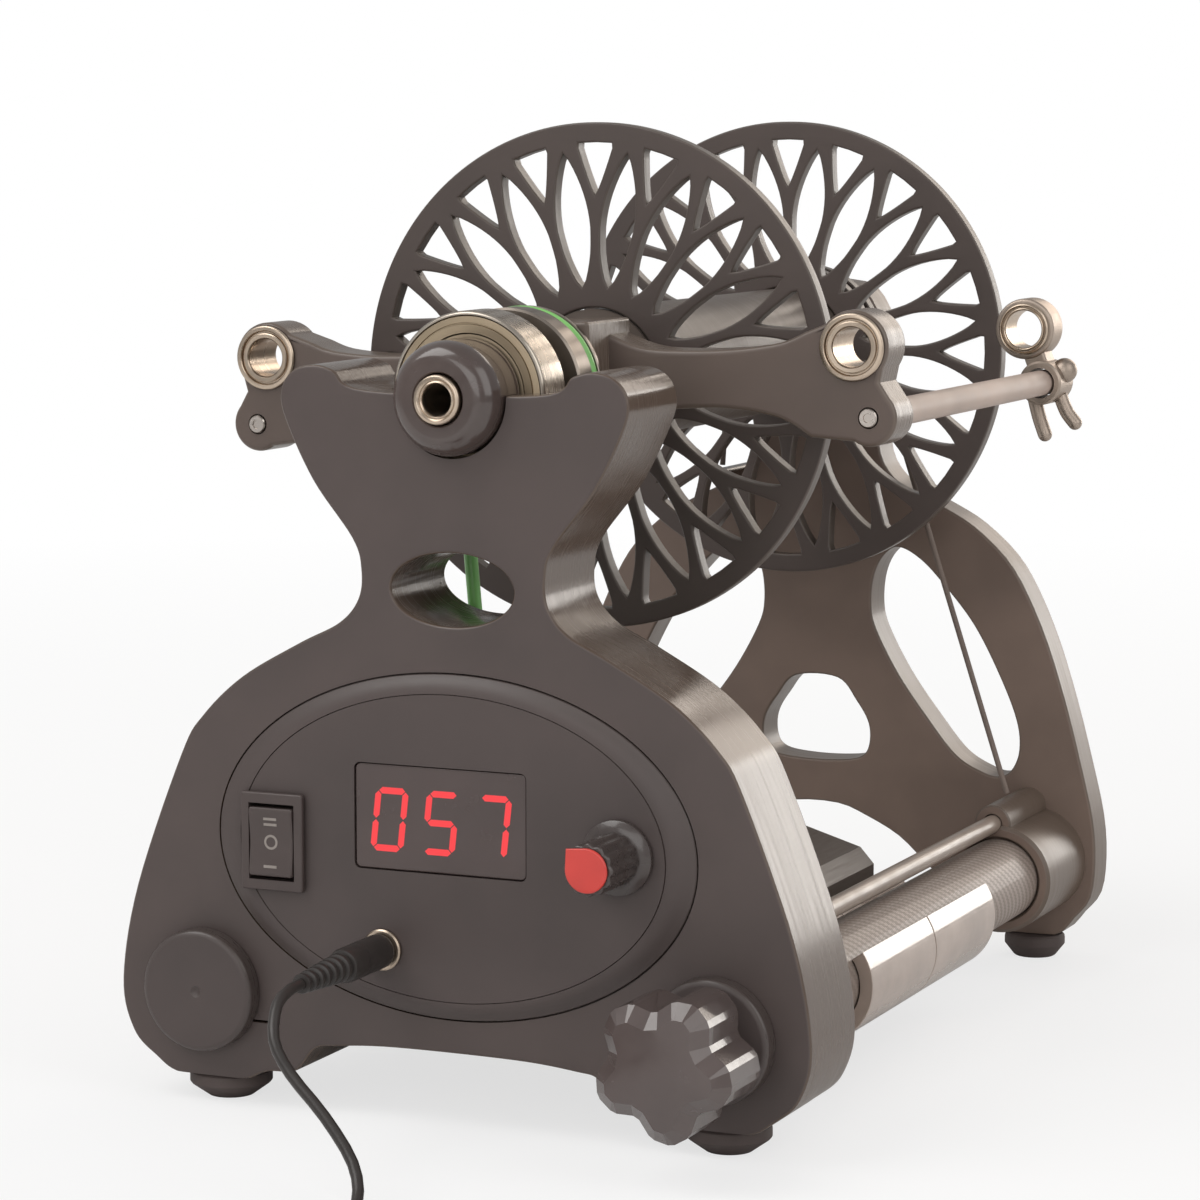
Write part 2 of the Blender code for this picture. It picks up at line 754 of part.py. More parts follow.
def make_panel(spinner):
    """The oval control panel with its openings."""
    narrow = panel_half_height / panel_half_width
    rim = [(0, panel_inset), (panel_half_width, panel_inset), (panel_half_width, 0),
           (panel_half_width * panel_face_share, -panel_rise), (0, -panel_rise)]
    panel = turned("control_panel", rim, spinner, (0, 0, panel_height), black_plastic, 40)
    panel.scale = (1, narrow, 1)
    through = panel_inset + panel_rise + 2 * overrun
    middle = (panel_inset - panel_rise) / 2
    openings = (
        box("display_opening", (display_width, through, display_tall), spinner,
            (display_x, middle, display_height), None),
        box("switch_opening", (switch_body_width + 2 * seat_gap, through, switch_body_tall + 2 * seat_gap),
            spinner, (switch_x, middle, switch_height), None),
        cylinder("knob_opening", pot_bush_radius + seat_gap, -through, through, spinner,
                 (knob_x, 0, knob_height), None, 16),
        cylinder("jack_opening", jack_barrel_radius + seat_gap, -through, through, spinner,
                 (jack_x, 0, jack_height), None, 16),
    )
    for opening in openings:
        combine(panel, opening)
    return panel


def make_electronics(spinner):
    """Display, switch, speed control, power socket and the board behind the panel."""
    display_front = display_recess - panel_rise
    box("display_module", (display_width - 2 * seat_gap, display_depth, display_tall - 2 * seat_gap),
        spinner, (display_x, display_front + display_depth / 2, display_height), dark_lens)

    rim_back = -panel_rise - seat_gap
    rim_front = rim_back - switch_rim
    switch = rounded_box("switch_body", (switch_width, switch_rim, switch_tall), spinner,
                         (switch_x, (rim_front + rim_back) / 2, switch_height), smooth_black,
                         switch_rim / 3, 1)
    body = box("switch_block", (switch_body_width, switch_body_depth, switch_body_tall), spinner,
               (switch_x, rim_back - switch_rim / 2 + switch_body_depth / 2, switch_height), None)
    combine(switch, body, "UNION")
    rocker_front = rim_front - rocker_proud
    pocket_end = rocker_front + rocker_depth + rocker_floor_gap
    pocket_depth = pocket_end - rim_front + overrun
    pocket = box("rocker_pocket", (rocker_width + 2 * seat_gap, pocket_depth,
                                   rocker_tall + 2 * rocker_end_gap), spinner,
                 (switch_x, pocket_end - pocket_depth / 2, switch_height), None)
    combine(switch, pocket)
    pivot = make_empty("rocker_pivot", spinner, (switch_x, rocker_front + rocker_pivot_depth, switch_height))
    side = [(-share_z * rocker_tall / 2, share_y * rocker_depth - rocker_pivot_depth)
            for share_z, share_y in rocker_side_shares]
    plate("switch_rocker", [side], rocker_width, pivot, (0, 0, 0), smooth_black,
          (math.radians(90), math.radians(90), math.radians(90)))

    pot_front = panel_inset + seat_gap
    ring_radius = pot_shaft_radius + seat_gap
    shaft_hole_end = rim_back + pot_shaft_reach + seat_gap
    pot = [(0, pot_front + pot_depth), (pot_radius, pot_front + pot_depth), (pot_radius, pot_front),
           (pot_bush_radius, pot_front), (pot_bush_radius, -panel_rise), (ring_radius, -panel_rise),
           (ring_radius, shaft_hole_end), (0, shaft_hole_end)]
    turned("speed_control", pot, spinner, (knob_x, 0, knob_height), dull_steel, 14)

    barrel_end = rim_back + jack_depth
    hole_end = barrel_end - overrun
    ring_front = rim_back - jack_ring_depth
    jack = [(0, barrel_end), (jack_barrel_radius, barrel_end), (jack_barrel_radius, rim_back),
            (jack_ring_radius, rim_back), (jack_ring_radius, ring_front), (jack_bore_radius, ring_front),
            (jack_bore_radius, hole_end), (0, hole_end)]
    turned("power_socket", jack, spinner, (jack_x, 0, jack_height), dull_steel, 14)

    box("control_board", (board_width, board_thickness, board_tall), spinner,
        (0, bay_depth - seat_gap - board_thickness / 2, panel_height), green_board)


def make_speed_knob(spinner):
    """The fluted speed knob and its red cap, on the axis of the speed control."""
    pivot = make_empty("speed_knob_pivot", spinner, (knob_x, 0, knob_height))
    back = -panel_rise - 2 * seat_gap
    front = back - knob_length
    flutes = []
    for index in range(2 * knob_flutes):
        angle = math.pi * index / knob_flutes
        radius = knob_radius - knob_flute * (index % 2)
        flutes.append((radius * math.cos(angle), radius * math.sin(angle)))
    knob = plate("speed_knob", [flutes], knob_length, pivot, (0, (back + front) / 2, 0), smooth_black)
    skirt = turned("knob_skirt", [(0, back), (knob_skirt_radius, back),
                                  (knob_skirt_radius, back - knob_skirt_depth / 2),
                                  (knob_radius, back - knob_skirt_depth), (0, back - knob_skirt_depth)],
                   pivot, (0, 0, 0), None, 20)
    combine(knob, skirt, "UNION")
    stub = cylinder("knob_shaft", pot_shaft_radius, back - overrun,
                    -panel_rise - seat_gap + pot_shaft_reach - seat_gap, pivot, (0, 0, 0), None, 12)
    combine(knob, stub, "UNION")
    recess = cylinder("cap_recess", knob_cap_radius + seat_gap, front - overrun,
                      front + knob_cap_depth / 2 + seat_gap, pivot, (0, 0, 0), None, 20)
    combine(knob, recess)
    cap = [(0, front + knob_cap_depth / 2), (knob_cap_radius, front + knob_cap_depth / 2),
           (knob_cap_radius, front - knob_cap_depth / 4), (knob_cap_radius * 0.8, front - knob_cap_depth / 2),
           (0, front - knob_cap_depth / 2)]
    turned("knob_cap", cap, pivot, (0, 0, 0), red_plastic, 20)


def belt_route():
    """Round the flyer's pulley, and round the motor's below it."""
    drop = spin_axis_height - motor_height
    lean = math.asin((flyer_belt_radius - motor_belt_radius) / drop)
    route = []
    for radius, height, start, sweep, count in (
            (flyer_belt_radius, spin_axis_height, -lean, math.pi + 2 * lean, 20),
            (motor_belt_radius, motor_height, math.pi + lean, math.pi - 2 * lean, 10)):
        for index in range(count + 1):
            angle = start + sweep * index / count
            route.append((radius * math.cos(angle), belt_y, height + radius * math.sin(angle)))
    return route


def make_motor_unit(spinner):
    """Motor, its pulley, the drive belt and the housing behind the front frame."""
    nose_front = motor_front_y - motor_nose_depth
    bore = motor_shaft_radius + seat_gap
    body_end = motor_front_y + motor_length
    motor = [(0, body_end), (motor_radius, body_end), (motor_radius, motor_front_y),
             (motor_nose_radius, motor_front_y), (motor_nose_radius, nose_front), (bore, nose_front),
             (bore, motor_front_y + motor_shaft_seat), (0, motor_front_y + motor_shaft_seat)]
    turned("motor", motor, spinner, (0, 0, motor_height), dull_steel, 16)
    half_groove = belt_radius + seat_gap
    front = belt_y - half_groove - motor_pulley_flange
    back = belt_y + half_groove + motor_pulley_flange
    shaft_end = motor_front_y + motor_shaft_seat - seat_gap
    pulley = [(0, shaft_end), (motor_shaft_radius, shaft_end), (motor_shaft_radius, back),
              (motor_pulley_radius, back), (motor_pulley_radius, belt_y + half_groove),
              (motor_pulley_groove_radius, belt_y + half_groove),
              (motor_pulley_groove_radius, belt_y - half_groove),
              (motor_pulley_radius, belt_y - half_groove), (motor_pulley_radius, front), (0, front)]
    turned("motor_pulley", pulley, spinner, (0, 0, motor_height), brass, 14)
    wire("drive_belt", belt_route(), belt_radius, spinner, green_urethane, closed=True, sides=6)

    tall = housing_top - housing_bottom
    roof = [(x * housing_half_width, housing_bottom + z * tall) for x, z in housing_roof_shares]
    outside = [(housing_half_width, housing_bottom)] + roof
    outside += [(-x, z) for x, z in reversed(outside[:-1])]
    inner_half = housing_half_width - housing_wall
    inner_tall = tall - 2 * housing_wall
    inner_bottom = housing_bottom + housing_wall
    inside_roof = [(x * inner_half, inner_bottom + z * inner_tall) for x, z in housing_roof_shares]
    inside = [(inner_half, inner_bottom)] + inside_roof
    inside += [(-x, z) for x, z in reversed(inside[:-1])]
    start = frame_depth + seat_gap
    length = housing_end_y - start
    housing = plate("motor_housing", [outside], length, spinner, (0, start + length / 2, 0), black_plastic)
    hollow = plate("housing_hollow", [inside], length, spinner,
                   (0, start - housing_wall + length / 2, 0), None)
    combine(housing, hollow)
    slot = box("belt_slot", (2 * belt_slot_half_width, belt_slot_length, tall / 2), spinner,
               (0, belt_y, housing_top), None)
    combine(housing, slot)


def make_bearings(spinner, flyer):
    """Two ball bearings: outer rings in the frames, inner rings on the flyer's shaft."""
    split = seat_gap / 2
    place = (0, 0, spin_axis_height)
    front, back = bearing_front_y, bearing_front_y + bearing_width
    ring("front_bearing_outer", bearing_outer_radius, bearing_split_radius + split, front, back, spinner,
         place, dull_steel, 28, bearing_chamfer)
    ring("front_bearing_inner", bearing_split_radius - split, shaft_tube_radius + seat_gap, front, back,
         flyer, (0, 0, 0), dull_steel, 24)
    front = rear_face_y + seat_gap
    back = front + rear_bearing_width
    ring("rear_bearing_outer", rear_bearing_radius, rear_bearing_split_radius + split, front, back, spinner,
         place, dull_steel)
    ring("rear_bearing_inner", rear_bearing_split_radius - split, shaft_rod_radius + seat_gap, front, back,
         flyer, (0, 0, 0), dull_steel, 20)


def make_shaft(flyer):
    """Orifice, hub, hollow front shaft with its yarn exit, rear shaft, pulley and collar."""
    centre = (0, 0, 0)
    ring_back = orifice_front_y + orifice_ring_length
    lip = orifice_ring_radius / 4
    ring_profile = [(orifice_ring_radius, ring_back), (orifice_ring_radius, orifice_front_y + lip / 2),
                    (orifice_ring_radius - lip / 2, orifice_front_y),
                    (orifice_bore_radius + lip / 3, orifice_front_y),
                    (orifice_bore_radius, orifice_front_y + lip), (orifice_bore_radius, ring_back)]
    turned("orifice_ring", ring_profile, flyer, centre, brass, 18, closed=True)
    bore = orifice_ring_radius + seat_gap
    hub_back = bearing_front_y - seat_gap
    hub = [(hub_radius, hub_back), (hub_radius, hub_front_y + hub_round),
           (hub_radius - hub_round / 3, hub_front_y + hub_round / 3), (hub_radius - hub_round, hub_front_y),
           (bore, hub_front_y), (bore, hub_back)]
    turned("orifice_hub", hub, flyer, centre, smooth_black, 24, closed=True)

    tube_front = hub_back + seat_gap
    tube_end = arm_front_y + arm_depth
    shaft = [(0, shaft_end_y), (shaft_rod_radius, shaft_end_y), (shaft_rod_radius, tube_end),
             (shaft_tube_radius, tube_end), (shaft_tube_radius, tube_front),
             (orifice_bore_radius, tube_front), (orifice_bore_radius, yarn_bore_end_y), (0, yarn_bore_end_y)]
    shaft = turned("flyer_shaft", shaft, flyer, centre, bright_steel, 20)
    exit_hole = cylinder("yarn_exit_in_shaft", yarn_exit_radius, 0, shaft_tube_radius + overrun, flyer,
                         (0, yarn_exit_y, 0), None, 16, rotation=(math.pi, 0, 0))
    combine(shaft, exit_hole)

    half_groove = belt_radius + seat_gap
    bore = shaft_tube_radius + seat_gap
    pulley = [(pulley_radius, pulley_rear_y), (pulley_radius, belt_y + half_groove),
              (pulley_groove_radius, belt_y + half_groove), (pulley_groove_radius, belt_y - half_groove),
              (pulley_radius, belt_y - half_groove), (pulley_radius, pulley_front_y),
              (bore, pulley_front_y), (bore, pulley_rear_y)]
    turned("flyer_pulley", pulley, flyer, centre, black_plastic, 24, closed=True)

    collar_front = rear_face_y - seat_gap - collar_width
    ring("shaft_collar", collar_radius, shaft_rod_radius + seat_gap, collar_front,
         collar_front + collar_width, flyer, centre, bright_steel, 16)


def arm_outline():
    """Both arms as one outline: swept edges that swell round the eyelets and the rod lugs."""
    reach = arm_reach
    top = [(arm_hub_half_width * 0.90, arm_root_rise * 1.65), (arm_hub_half_width * 1.5, arm_root_rise * 1.14),
           (reach * 0.40, arm_root_rise), (reach * 0.58, arm_root_rise), (reach * 0.73, arm_root_rise * 1.18),
           (reach * 0.81, arm_root_rise * 1.50)]
    over_eyelet = arc((eyelet_reach, eyelet_rise), eyelet_radius, 140, -35, 9)
    waist = [(eyelet_reach + eyelet_radius * 0.72, (eyelet_rise - lug_drop) * 0.55)]
    round_lug = arc((reach, -lug_drop), lug_radius, 42, -125, 9)
    bottom = [(reach * 0.82, -arm_root_drop * 2.05), (reach * 0.72, -arm_root_drop * 1.35),
              (reach * 0.56, -arm_root_drop), (reach * 0.40, -arm_root_drop),
              (arm_hub_half_width * 1.5, -arm_root_drop * 1.10), (arm_hub_half_width * 0.90, -arm_root_drop * 1.6)]
    right = top + over_eyelet + waist + round_lug + bottom
    return right + [(-x, z) for x, z in reversed(right)]


def arc(centre, radius, start, end, count):
    angles = [math.radians(start + (end - start) * i / (count - 1)) for i in range(count)]
    return [(centre[0] + radius * math.cos(a), centre[1] + radius * math.sin(a)) for a in angles]


def make_flyer_arm(flyer):
    """The carved cross arm with its hub, eyelets, rods and rod screws."""
    middle = arm_front_y + arm_depth / 2
    eyelets = [circle(eyelet_bore_radius, 16, (side * eyelet_reach, eyelet_rise)) for side in (1, -1)]
    arm = plate("flyer_arm", [arm_outline(), *eyelets], arm_depth, flyer, (0, middle, 0), black_plastic)
    hub_front = pulley_rear_y + seat_gap
    hub_back = arm_front_y + arm_depth + arm_hub_step
    hub = box("arm_hub", (2 * arm_hub_half_width, hub_back - hub_front, 2 * arm_hub_half_height), flyer,
              (0, (hub_front + hub_back) / 2, 0), None)
    combine(arm, hub, "UNION")
    shaft_way = cylinder("shaft_way", shaft_tube_radius + seat_gap, hub_front - overrun,
                         hub_back + overrun, flyer, (0, 0, 0), None, 20)
    combine(arm, shaft_way)
    exit_hole = cylinder("yarn_exit_in_hub", yarn_exit_radius + 2 * seat_gap, 0,
                         arm_hub_half_height + overrun, flyer, (0, yarn_exit_y, 0), None, 16,
                         rotation=(math.pi, 0, 0))
    combine(arm, exit_hole)
    back = arm_front_y + arm_depth
    for side, word in ((1, "right"), (-1, "left")):
        lug = (side * arm_reach, 0, -lug_drop)
        rod_hole = cylinder(f"rod_seat_{word}", rod_radius + seat_gap, back - rod_seat, back + overrun,
                            flyer, lug, None, 16)
        combine(arm, rod_hole)
        screw_hole = cylinder(f"screw_way_{word}", rod_screw_radius + seat_gap, arm_front_y - overrun,
                              back - rod_seat + overrun, flyer, lug, None, 12)
        combine(arm, screw_hole)
        cylinder(f"flyer_rod_{word}", rod_radius, back - rod_seat + seat_gap, rod_end_y, flyer, lug,
                 carbon, 16)
        cylinder(f"rod_screw_{word}", rod_screw_radius, arm_front_y - rod_screw_head / 2,
                 back - rod_seat - seat_gap, flyer, lug, bright_steel, 12)
        insert(f"arm_eyelet_{word}", eyelet_bore_radius, insert_bore_radius, insert_lip_radius,
               arm_front_y, arm_depth, flyer, (side * eyelet_reach, 0, eyelet_rise))
    return arm


def insert(name, hole, bore, lip, front, depth, parent, location):
    """A lipped metal eyelet in a hole."""
    outer = hole - seat_gap
    lip_back = front - seat_gap
    lip_front = lip_back - insert_lip
    end = front + depth
    profile = [(outer, end), (outer, lip_back), (lip, lip_back), (lip - insert_lip / 2, lip_front),
               (bore + insert_lip / 2, lip_front), (bore, lip_back), (bore, end)]
    return turned(name, profile, parent, location, brass, 14, closed=True)


def make_guides(flyer):
    """One sliding yarn guide on each rod: grip, ring with insert, two thumb prongs and a ball."""
    slip = 2 * seat_gap
    for side, word in ((1, "right"), (-1, "left")):
        pivot = make_empty(f"guide_{word}_slide", flyer, (side * arm_reach, guide_y, -lug_drop))
        ring_at = (side * (guide_ring_x - arm_reach), guide_ring_rise + lug_drop)
        ring_part = plate(f"guide_{word}", [circle(guide_ring_radius, 16, ring_at)], guide_width, pivot,
                          (0, 0, 0), dull_steel)
        grip = cylinder(f"guide_grip_{word}", guide_grip_radius, -guide_width / 2 - 2 * overrun,
                        guide_width / 2 + overrun / 2, pivot, (0, 0, 0), None, 16)
        combine(ring_part, grip, "UNION")
        lean = -side * math.atan2(ring_at[0] * side, ring_at[1])
        neck = box(f"guide_neck_{word}", (guide_grip_radius, guide_width - overrun, ring_at[1]), pivot,
                   (ring_at[0] / 2, 0, ring_at[1] / 2), None, (0, -lean, 0))
        combine(ring_part, neck, "UNION")
        prongs = (
            ((-side * 0.30, -0.70), (-side * 0.30, -2.60)),
            ((side * 0.50, -0.60), (side * 0.75, -2.25)),
        )
        for index, (start, end) in enumerate(prongs):
            route = [(start[0] * guide_grip_radius, 0, start[1] * guide_grip_radius),
                     (end[0] * guide_grip_radius, 0, end[1] * guide_grip_radius)]
            prong = wire(f"guide_prong_{word}_{index}", route, guide_wire_radius, pivot, None, sides=6)
            combine(ring_part, prong, "UNION")
        tip = ball(f"guide_ball_{word}", guide_ball_radius, pivot,
                   (side * guide_grip_radius * 0.85, 0, guide_grip_radius * 0.15), None, 10)
        combine(ring_part, tip, "UNION")
        rod_way = cylinder(f"guide_rod_way_{word}", rod_radius + slip, -guide_width, guide_width, pivot,
                           (0, 0, 0), None, 16)
        ring_way = cylinder(f"guide_ring_way_{word}", guide_ring_bore, -guide_width, guide_width, pivot,
                            (ring_at[0], 0, ring_at[1]), None, 16)
        combine(ring_part, rod_way)
        combine(ring_part, ring_way)
        insert(f"guide_eyelet_{word}", guide_ring_bore, guide_insert_bore, guide_ring_bore + insert_lip,
               -guide_width / 2, guide_width, pivot, (ring_at[0], 0, ring_at[1]))


def petal_loops():
    """Leaf windows, and the small windows between their tips, inside the flange's rim."""
    inner = flange_hub_radius
    outer = flange_radius - flange_rim
    length = outer - inner
    pitch = 2 * math.pi / petal_count
    leaf_steps = 4
    loops = []

    def half_width(share):
        """Half a leaf's width at a share of its own length, pointed at both ends."""
        radius = inner + share * petal_length_share * length
        full = petal_half_width * math.sin(math.pi * share) ** 0.8
        return min(full, radius * math.sin(pitch / 2) - flange_rib / 2)

    for index in range(petal_count):
        angle = pitch * (index + 1 / 2)
        along = Vector((math.cos(angle), math.sin(angle)))
        across = Vector((-along.y, along.x))
        shares = [i / leaf_steps for i in range(1, leaf_steps)]
        reach = petal_length_share * length
        right = [along * (inner + s * reach) + across * half_width(s) for s in shares]
        left = [along * (inner + s * reach) - across * half_width(s) for s in reversed(shares)]
        loops.append([along * inner, *right, along * (inner + reach), *left])

        between = pitch * index
        middle = Vector((math.cos(between), math.sin(between)))
        side = Vector((-middle.y, middle.x))
        room = min(rim_window_half_width, outer * math.sin(pitch / 2) - flange_rib)
        tip = middle * (inner + rim_window_start_share * length)
        loops.append([tip, middle * outer + side * room, middle * outer - side * room])
    return loops


def make_bobbin(spinner):
    """Core tube, end bushes, two lattice flanges and the brake pulley."""
    bobbin = make_empty("bobbin_pivot", spinner, (0, 0, spin_axis_height))
    centre = (0, 0, 0)
    bore = core_radius + seat_gap
    rear_end = rear_flange_y + flange_thickness + seat_gap + brake_pulley_length
    ring("bobbin_core", core_radius, core_radius - core_wall, front_flange_y, rear_end, bobbin, centre,
         black_plastic, 20)
    for word, y in (("front", front_flange_y), ("rear", rear_flange_y)):
        loops = [circle(flange_radius, 54), circle(bore, 20), *petal_loops()]
        plate(f"bobbin_flange_{word}", loops, flange_thickness, bobbin,
              (0, y + flange_thickness / 2, 0), black_plastic)
    inside = core_radius - core_wall - seat_gap
    hole = shaft_rod_radius + seat_gap
    seat = front_flange_y - seat_gap
    nose = [(inside, seat + bush_depth), (inside, seat), (core_radius, seat), (nose_radius, nose_y),
            (hole, nose_y), (hole, seat + bush_depth)]
    turned("bobbin_bush_front", nose, bobbin, centre, black_plastic, 18, closed=True)
    seat = rear_end + seat_gap
    cheek = seat + 2 * overrun
    tail = [(core_radius, cheek), (core_radius, seat), (inside, seat), (inside, seat - bush_depth),
            (hole, seat - bush_depth), (hole, cheek)]
    turned("bobbin_bush_rear", tail, bobbin, centre, black_plastic, 18, closed=True)
    groove = brake_groove_y()
    half = brake_groove_width / 2
    pulley = [(brake_pulley_radius, rear_end), (brake_pulley_radius, groove + half),
              (brake_groove_radius, groove + half), (brake_groove_radius, groove - half),
              (brake_pulley_radius, groove - half),
              (brake_pulley_radius, rear_flange_y + flange_thickness + seat_gap),
              (bore, rear_flange_y + flange_thickness + seat_gap), (bore, rear_end)]
    turned("bobbin_brake_pulley", pulley, bobbin, centre, black_plastic, 24, closed=True)


def tangent_angle(x, z, radius):
    """Where a straight line from a point below meets a round on the spin axis."""
    dx, dz = x, z - spin_axis_height
    distance = math.hypot(dx, dz)
    return math.atan2(dz, dx), math.acos(radius / distance)


def make_brake(spinner):
    """The brake cord over the bobbin's pulley and the star knob that tightens it."""
    y = brake_groove_y()
    radius = brake_groove_radius + seat_gap + brake_cord_radius
    lug_side = math.asin((tie_rod_x - cord_foot_x) / tie_lug_radius)
    foot_height = tie_rod_height + tie_lug_radius * math.cos(lug_side) + brake_cord_radius
    foot = (cord_foot_x, y, foot_height)
    post_top = post_height + post_radius + brake_cord_radius
    towards, half = tangent_angle(foot[0], foot[2], radius)
    start = towards + half
    towards, half = tangent_angle(post_x, post_top, radius)
    end = towards - half + 2 * math.pi
    count = 16
    angles = [start + (end - start) * i / count for i in range(count + 1)]
    over = [(radius * math.cos(a), y, spin_axis_height + radius * math.sin(a)) for a in angles]
    wire("brake_cord", [foot, *over, (post_x, y, post_top)], brake_cord_radius, spinner, grey_cord, sides=6)

    pivot = make_empty("brake_knob_pivot", spinner, (tube_x, 0, tube_height))
    star = []
    for index in range(knob_lobes):
        middle = 2 * math.pi * index / knob_lobes + knob_star_turn
        for offset, size in ((-0.30, knob_star_radius * 0.93), (0.0, knob_star_radius),
                             (0.30, knob_star_radius * 0.93), (math.pi / knob_lobes, knob_valley_radius)):
            star.append((size * math.cos(middle + offset), size * math.sin(middle + offset)))
    knob = plate("brake_knob", [star], knob_star_depth, pivot,
                 (0, knob_star_front_y + knob_star_depth / 2, 0), smooth_black)
    bevel = knob.modifiers.new("facets", "BEVEL")
    bevel.width = knob_star_bevel
    bevel.segments = 1
    bevel.limit_method = "ANGLE"
    bevel.angle_limit = math.radians(60)
    cap_front = -2 * seat_gap - cap_depth
    star_back = knob_star_front_y + knob_star_depth
    neck = turned("knob_neck", [(0, spindle_reach), (spindle_radius, spindle_reach),
                                (spindle_radius, cap_front), (knob_neck_radius, cap_front),
                                (knob_neck_radius * 1.5, star_back - overrun), (0, star_back - overrun)],
                  pivot, (0, 0, 0), None, 16)
    combine(knob, neck, "UNION")


def make_plug(name, parent, location, rotation, look):
    """A round power plug in one piece: pin, grip and ribbed relief, its lead leaving along -axis."""
    grip_back = -plug_length
    step = relief_length / (2 * relief_ribs)
    profile = [(0, plug_pin_length), (plug_pin_radius, plug_pin_length), (plug_pin_radius, 0),
               (plug_radius - plug_round, 0), (plug_radius, -plug_round),
               (plug_radius, grip_back + plug_round), (plug_radius - plug_round, grip_back)]
    for index in range(relief_ribs):
        share = index / relief_ribs
        radius = relief_start_radius + (relief_end_radius - relief_start_radius) * share
        along = grip_back - 2 * step * index
        profile += [(radius - relief_rib, along - step / 2), (radius, along - 2 * step)]
    profile.append((0, grip_back - relief_length))
    turned(name, profile, parent, location, look, 12, rotation=rotation)


def coil_route():
    """The wound lead: it spirals in and out again, and climbs a layer where it turns back."""
    start_x, start_y, start_z = lead_run[-1]
    centre = Vector((start_x - coil_outer_radius, start_y - seat_gap - lead_diameter))
    turns = coil_layers * coil_layer_turns
    count = round(turns * coil_loop_points)
    route = [(start_x, start_y - seat_gap, start_z)]
    for index in range(count + 1):
        turn = turns * index / count
        layer = min(int(turn / coil_layer_turns), coil_layers - 1)
        into = turn - layer * coil_layer_turns
        inward = layer % 2 == 0
        radius = coil_outer_radius - coil_spacing * (into if inward else coil_layer_turns - into)
        height = coil_bottom + coil_spacing * climb_share(turn)
        angle = -2 * math.pi * turn
        route.append((centre.x + radius * math.cos(angle), centre.y + radius * math.sin(angle), height))
    end = Vector(route[-1])
    heading = (Vector(route[-1]) - Vector(route[-2])).normalized()
    heading.z = 0
    heading.normalize()
    plug_height = plug_radius
    for index in range(1, tail_steps + 1):
        share = index / tail_steps
        fall = share * share * (3 - 2 * share)
        spot = end + heading * (tail_straight + tail_fall * share)
        route.append((spot.x, spot.y, end.z + (plug_height - end.z) * fall))
    last = Vector(route[-1]) + heading * lead_diameter
    route.append(tuple(last))
    return route, centre, last, heading


def climb_share(turn):
    """Layers climbed after so many turns, each in the half turn round a turning back."""
    climbed = 0.0
    for layer in range(1, coil_layers):
        share = (turn - layer * coil_layer_turns) * 2 + 1 / 2
        share = min(max(share, 0.0), 1.0)
        climbed += share * share * (3 - 2 * share)
    return climbed


def least_gap(route, diameter):
    """The smallest gap between stretches of a wound tube that aren't neighbours."""
    points = [Vector(p) for p in route]
    apart = coil_loop_points // 3
    least = min((points[i] - points[j]).length
                for i in range(len(points)) for j in range(i + apart, len(points)))
    return least - diameter


def make_power_lead(spinner):
    """The lead's plug in the socket, its free run, and its unseen length as a tied coil."""
    plug_seat = -panel_rise - 2 * seat_gap - jack_ring_depth
    make_plug("power_plug", spinner, (jack_x, plug_seat, jack_height), facing_rear, smooth_black)
    free = smooth(lead_run, 2, closed=False)
    exit_y = plug_seat - plug_length - seat_gap - relief_length
    free.insert(0, Vector((jack_x, exit_y, jack_height)))
    wire("power_cord", free, lead_radius, spinner, smooth_black, sides=8)
    route, centre, last, heading = coil_route()
    print("least gap in the coiled lead, mm:", round(least_gap(route, lead_diameter) * 1000, 2))
    wire("cord_coil", route, lead_radius, spinner, smooth_black, sides=6)
    turn = math.atan2(heading.y, heading.x)
    plug_start = last + heading * (seat_gap + relief_length + plug_length)
    make_plug("far_plug", spinner, plug_start, (math.radians(90), 0, turn + math.radians(90)), smooth_black)

    half = coil_width / 2 + lead_radius + tie_clearance
    low = tie_thickness
    high = coil_bottom + (coil_layers - 1) * coil_spacing + lead_radius + seat_gap
    inner = [(-half, low), (half, low), (half, high), (-half, high)]
    outer = [(x + math.copysign(tie_thickness, x), z + math.copysign(tie_thickness, z - (low + high) / 2))
             for x, z in inner]
    plate("coil_tie", [outer, inner], tie_width, spinner,
          (centre.x - coil_middle_radius, centre.y, 0), dark_rubber)


def build():
    clear_scene()
    spinner = make_empty("spinning_wheel_origin", None, (0, -model_centre_y, 0))
    flyer = make_empty("flyer_pivot", spinner, (0, 0, spin_axis_height), (0, flyer_rest_angle, 0))
    make_front_frame(spinner)
    make_rear_frame(spinner)
    make_tubes(spinner)
    make_sleeves(spinner)
    make_panel(spinner)
    make_electronics(spinner)
    make_speed_knob(spinner)
    make_motor_unit(spinner)
    make_bearings(spinner, flyer)
    make_shaft(flyer)
    make_flyer_arm(flyer)
    make_guides(flyer)
    make_bobbin(spinner)
    make_brake(spinner)
    make_power_lead(spinner)


build()
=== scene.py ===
"""Electric spinning wheel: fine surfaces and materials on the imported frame. Metres, +Z up."""
import json
from math import acos, asin, atan2, cos, hypot, pi, radians, sin

import bmesh
import bpy
from mathutils import Matrix, Vector


